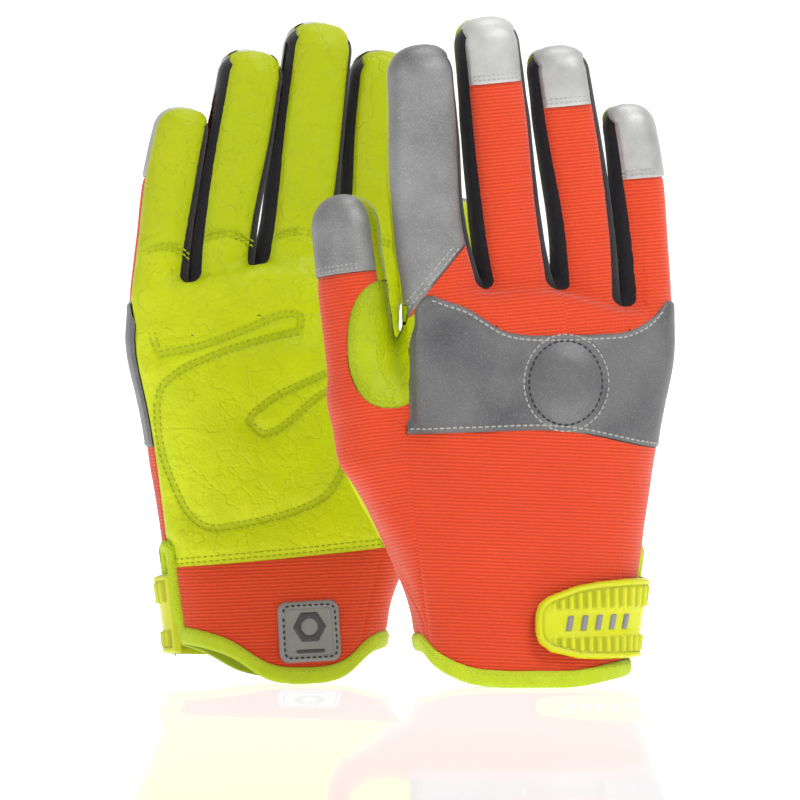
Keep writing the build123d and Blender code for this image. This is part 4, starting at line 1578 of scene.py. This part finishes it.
def build_badge(glove):
    """The moulded badge on the cuff, with its rim."""
    half, thick = BADGE["half"], BADGE["thick"]
    corners = rounded_corners((-half, -half), (half, half), BADGE["corner"])

    def edge(p):
        return polygon_distance(p, corners)

    skin = flat_grid((-half - 0.5, -half - 0.5), (half + 0.5, half + 0.5), 0.5)
    skin = skin.scored(edge, (-0.5, -2.6, -3.2)).split(edge)[0]
    inward = -edge(skin.points)
    relief = 0.35 * ramp(inward, 2.5, 2.0) + 0.2 * np.exp(-(((inward - 3.4) / 0.35) ** 2))
    spots, n = on_badge(glove.whole, skin.points)
    top = spots + n * (0.5 + thick * ramp(inward, -0.2, 0.7) - 0.35 + relief)[:, None]
    points, faces = closed(top, spots + n * 0.1, skin.faces)
    values = plain_values(len(points))
    make(glove, "cuff_badge", "hand", points, faces, "badge_rubber", ["cuff_badge"], values)
    build_badge_mark(glove)
    stitch_badge(glove)


def build_badge_mark(glove):
    """The badge's plain mark: a hexagonal ring over a short bar."""
    middle, size, thick = HEXAGON["height"], HEXAGON["outer"], BADGE["thick"]
    hexagon = [(size * math.cos(t), middle + size * math.sin(t)) for t in np.radians(np.arange(0, 360, 60))]
    bar = rounded_corners(*BADGE_BAR, 0.7)

    def edge(p):
        hole = np.hypot(p[:, 0], p[:, 1] - middle) - HEXAGON["hole"]
        return np.minimum(np.maximum(polygon_distance(p, hexagon), -hole), polygon_distance(p, bar))

    skin = flat_grid((-7, -9), (7, 8.5), 0.45).scored(edge, (-0.4,)).split(edge)[0]
    spots, n = on_badge(glove.whole, skin.points)
    top = spots + n * (thick + 0.15 + 0.5 * ramp(-edge(skin.points), 0, 0.5))[:, None]
    points, faces = closed(top, spots + n * (thick - 0.3), skin.faces)
    make(glove, "badge_mark", "hand", points, faces, "dark_rubber", (), plain_values(len(points)))


def stitch_badge(glove):
    """The row of stitches inside the badge's rim."""
    reach = BADGE["half"] - 1.7
    line = np.array(rounded_corners((-reach, -reach), (reach, reach), 2.2))
    line = np.concatenate([line, line[:1]])
    dense = np.concatenate([np.linspace(a, b, 24, endpoint=False) for a, b in zip(line[:-1], line[1:])])
    spots, n = on_badge(glove.whole, dense)
    p, n = evenly(spots + n * (BADGE["thick"] + 0.5), [n], 2.2 / 8)
    first = np.arange(0, len(p) - 7, 8)
    points, faces = thread_shape(p[first], p[first + 5], n[first], 0.33)
    make(glove, "badge_stitches", "hand", points, faces, "thread_black")


# ---------------------------------------------------------------- the foam pads
HEEL_CORNER = (-22, 112)
UPPER_PAD = ((42, 124), (30, 128), (8, 134), (-6, 138), (-8, 144), (40, 140))
PAD_INSET, PAD_BELOW, PAD_THICK = 1.5, 0.7, 1.6


def build_pads(hand):
    """The foam under the leather, out of sight but felt: the heel, the upper palm and the knuckles."""
    heel = [*PALM_LINES["lower"], *PALM_LINES["heel"], HEEL_CORNER]
    radii = [0.9 * radius for radius in DISC["radii"]]
    disc = [(DISC["across"] + radii[0] * math.cos(t), DISC["height"] + radii[1] * math.sin(t))
            for t in np.linspace(0, 2 * math.pi, 24, endpoint=False)]
    build_pad(hand, "heel_pad", np.array(heel), 1)
    build_pad(hand, "upper_pad", np.array(UPPER_PAD), 1)
    build_pad(hand, "knuckle_pad", np.array(disc), -1)


def build_pad(hand, name, outline, side):
    """A pad that swells from its edge, just below the panel that covers it."""
    def edge(p):
        return polygon_distance(p, outline) + PAD_INSET

    skin = flat_grid(outline.min(axis=0), outline.max(axis=0), 2.0).split(edge)[0]
    q = skin.points
    spots = cast(hand.field, *from_viewer(q[:, 0], q[:, 1], side))[0]
    n = normals(hand.field, spots)
    lift = (hand.rise_band if side < 0 else hand.rise_leather)(spots) - PAD_BELOW
    thick = np.minimum(0.3 + 0.6 * np.maximum(-edge(q), 0), PAD_THICK + lift)
    faces = skin.faces if side < 0 else skin.faces[:, ::-1]
    points, faces = closed(spots + n * lift[:, None], spots + n * (lift - thick)[:, None], faces)
    piece = make(hand.glove, name, "hand", points, faces, "pad_foam", ["foam_pads"])


def build_glove(which):
    glove = Glove(which)
    build_hand(glove)
    for name in NAMES + ["thumb"]:
        build_finger(glove, name)
    build_tab(glove)
    build_badge(glove)


# ---------------------------------------------------------------- floor, lights and camera
VIEW_HEIGHT = 104.8
LENS, SENSOR, FRAME_WIDTH = 1000.0, 36.0, 292.0
# in metres from here on: the backdrop stands behind the camera's reach, so that any side can be seen
FLOOR_WIDE, FLOOR_FRONT, FLOOR_BACK, COVE, WALL_TOP = 20.0, -30.0, 11.0, 1.5, 9.0
WHITE = (1.0, 1.0, 1.0, 1.0)
FLOOR_GLOW, WORLD_LIGHT = 0.64, 0.45
AIM = (0.0, 0.0, 0.12)
LIGHTS = {  # place, size of the square, power
    "key": ((1.1, -1.1, 1.5), 0.6, 19.0),
    "fill": ((-1.5, -1.0, 0.7), 0.9, 5.0),
    "top": ((0.2, 0.3, 1.7), 0.8, 9.0),
}


def build_stage():
    """A pale floor that curves up into a backdrop."""
    turns = np.linspace(0.1, math.pi / 2, 14)
    cove = [(FLOOR_BACK + COVE * math.sin(t), COVE - COVE * math.cos(t)) for t in turns]
    profile = [(FLOOR_FRONT, 0), (FLOOR_BACK, 0), *cove, (FLOOR_BACK + COVE, WALL_TOP)]
    points = [(x, y, z) for y, z in profile for x in (-FLOOR_WIDE, FLOOR_WIDE)]
    faces = [(2 * i, 2 * i + 1, 2 * i + 3, 2 * i + 2) for i in range(len(profile) - 1)]
    mesh = bpy.data.meshes.new("floor")
    mesh.from_pydata(points, [], faces)
    mesh.polygons.foreach_set("use_smooth", np.ones(len(mesh.polygons), bool))
    n = Nodes("floor")
    tone = n.mix(n.spread(n.noise(6.0), 0.3, 0.7), (0.90, 0.90, 0.90, 1.0), (0.93, 0.93, 0.93, 1.0))
    glow = {"emission_color": WHITE, "emission_strength": FLOOR_GLOW}
    mesh.materials.append(n.finish(tone, 0.04, specular_ior_level=0.5, **glow))
    floor = bpy.data.objects.new("floor", mesh)
    bpy.context.scene.collection.objects.link(floor)


def add_light(name, at, size, power):
    data = bpy.data.lights.new(name, "AREA")
    data.shape, data.size, data.energy = "SQUARE", size, power
    lamp = bpy.data.objects.new(name, data)
    bpy.context.scene.collection.objects.link(lamp)
    lamp.location = at
    lamp.rotation_euler = (Vector(AIM) - Vector(at)).to_track_quat("-Z", "Y").to_euler()


def build_lights():
    world = bpy.data.worlds.new("studio")
    world.use_nodes = True
    background = world.node_tree.nodes["Background"]
    background.inputs["Color"].default_value = WHITE
    background.inputs["Strength"].default_value = WORLD_LIGHT
    bpy.context.scene.world = world
    for name, (at, size, power) in LIGHTS.items():
        add_light(name, at, size, power)


def build_camera():
    data = bpy.data.cameras.new("camera")
    data.lens, data.sensor_width, data.clip_start, data.clip_end = LENS, SENSOR, 0.1, 60.0
    camera = bpy.data.objects.new("camera", data)
    bpy.context.scene.collection.objects.link(camera)
    front = PLACES["front"]["at"][1] * MM
    camera.location = (0.0, front - FRAME_WIDTH * MM * LENS / SENSOR, VIEW_HEIGHT * MM)
    camera.rotation_euler = (math.pi / 2, 0.0, 0.0)
    bpy.context.scene.camera = camera
    bpy.context.scene.view_settings.view_transform = "Standard"


for which in PLACES:
    build_glove(which)
build_stage()
build_lights()
build_camera()
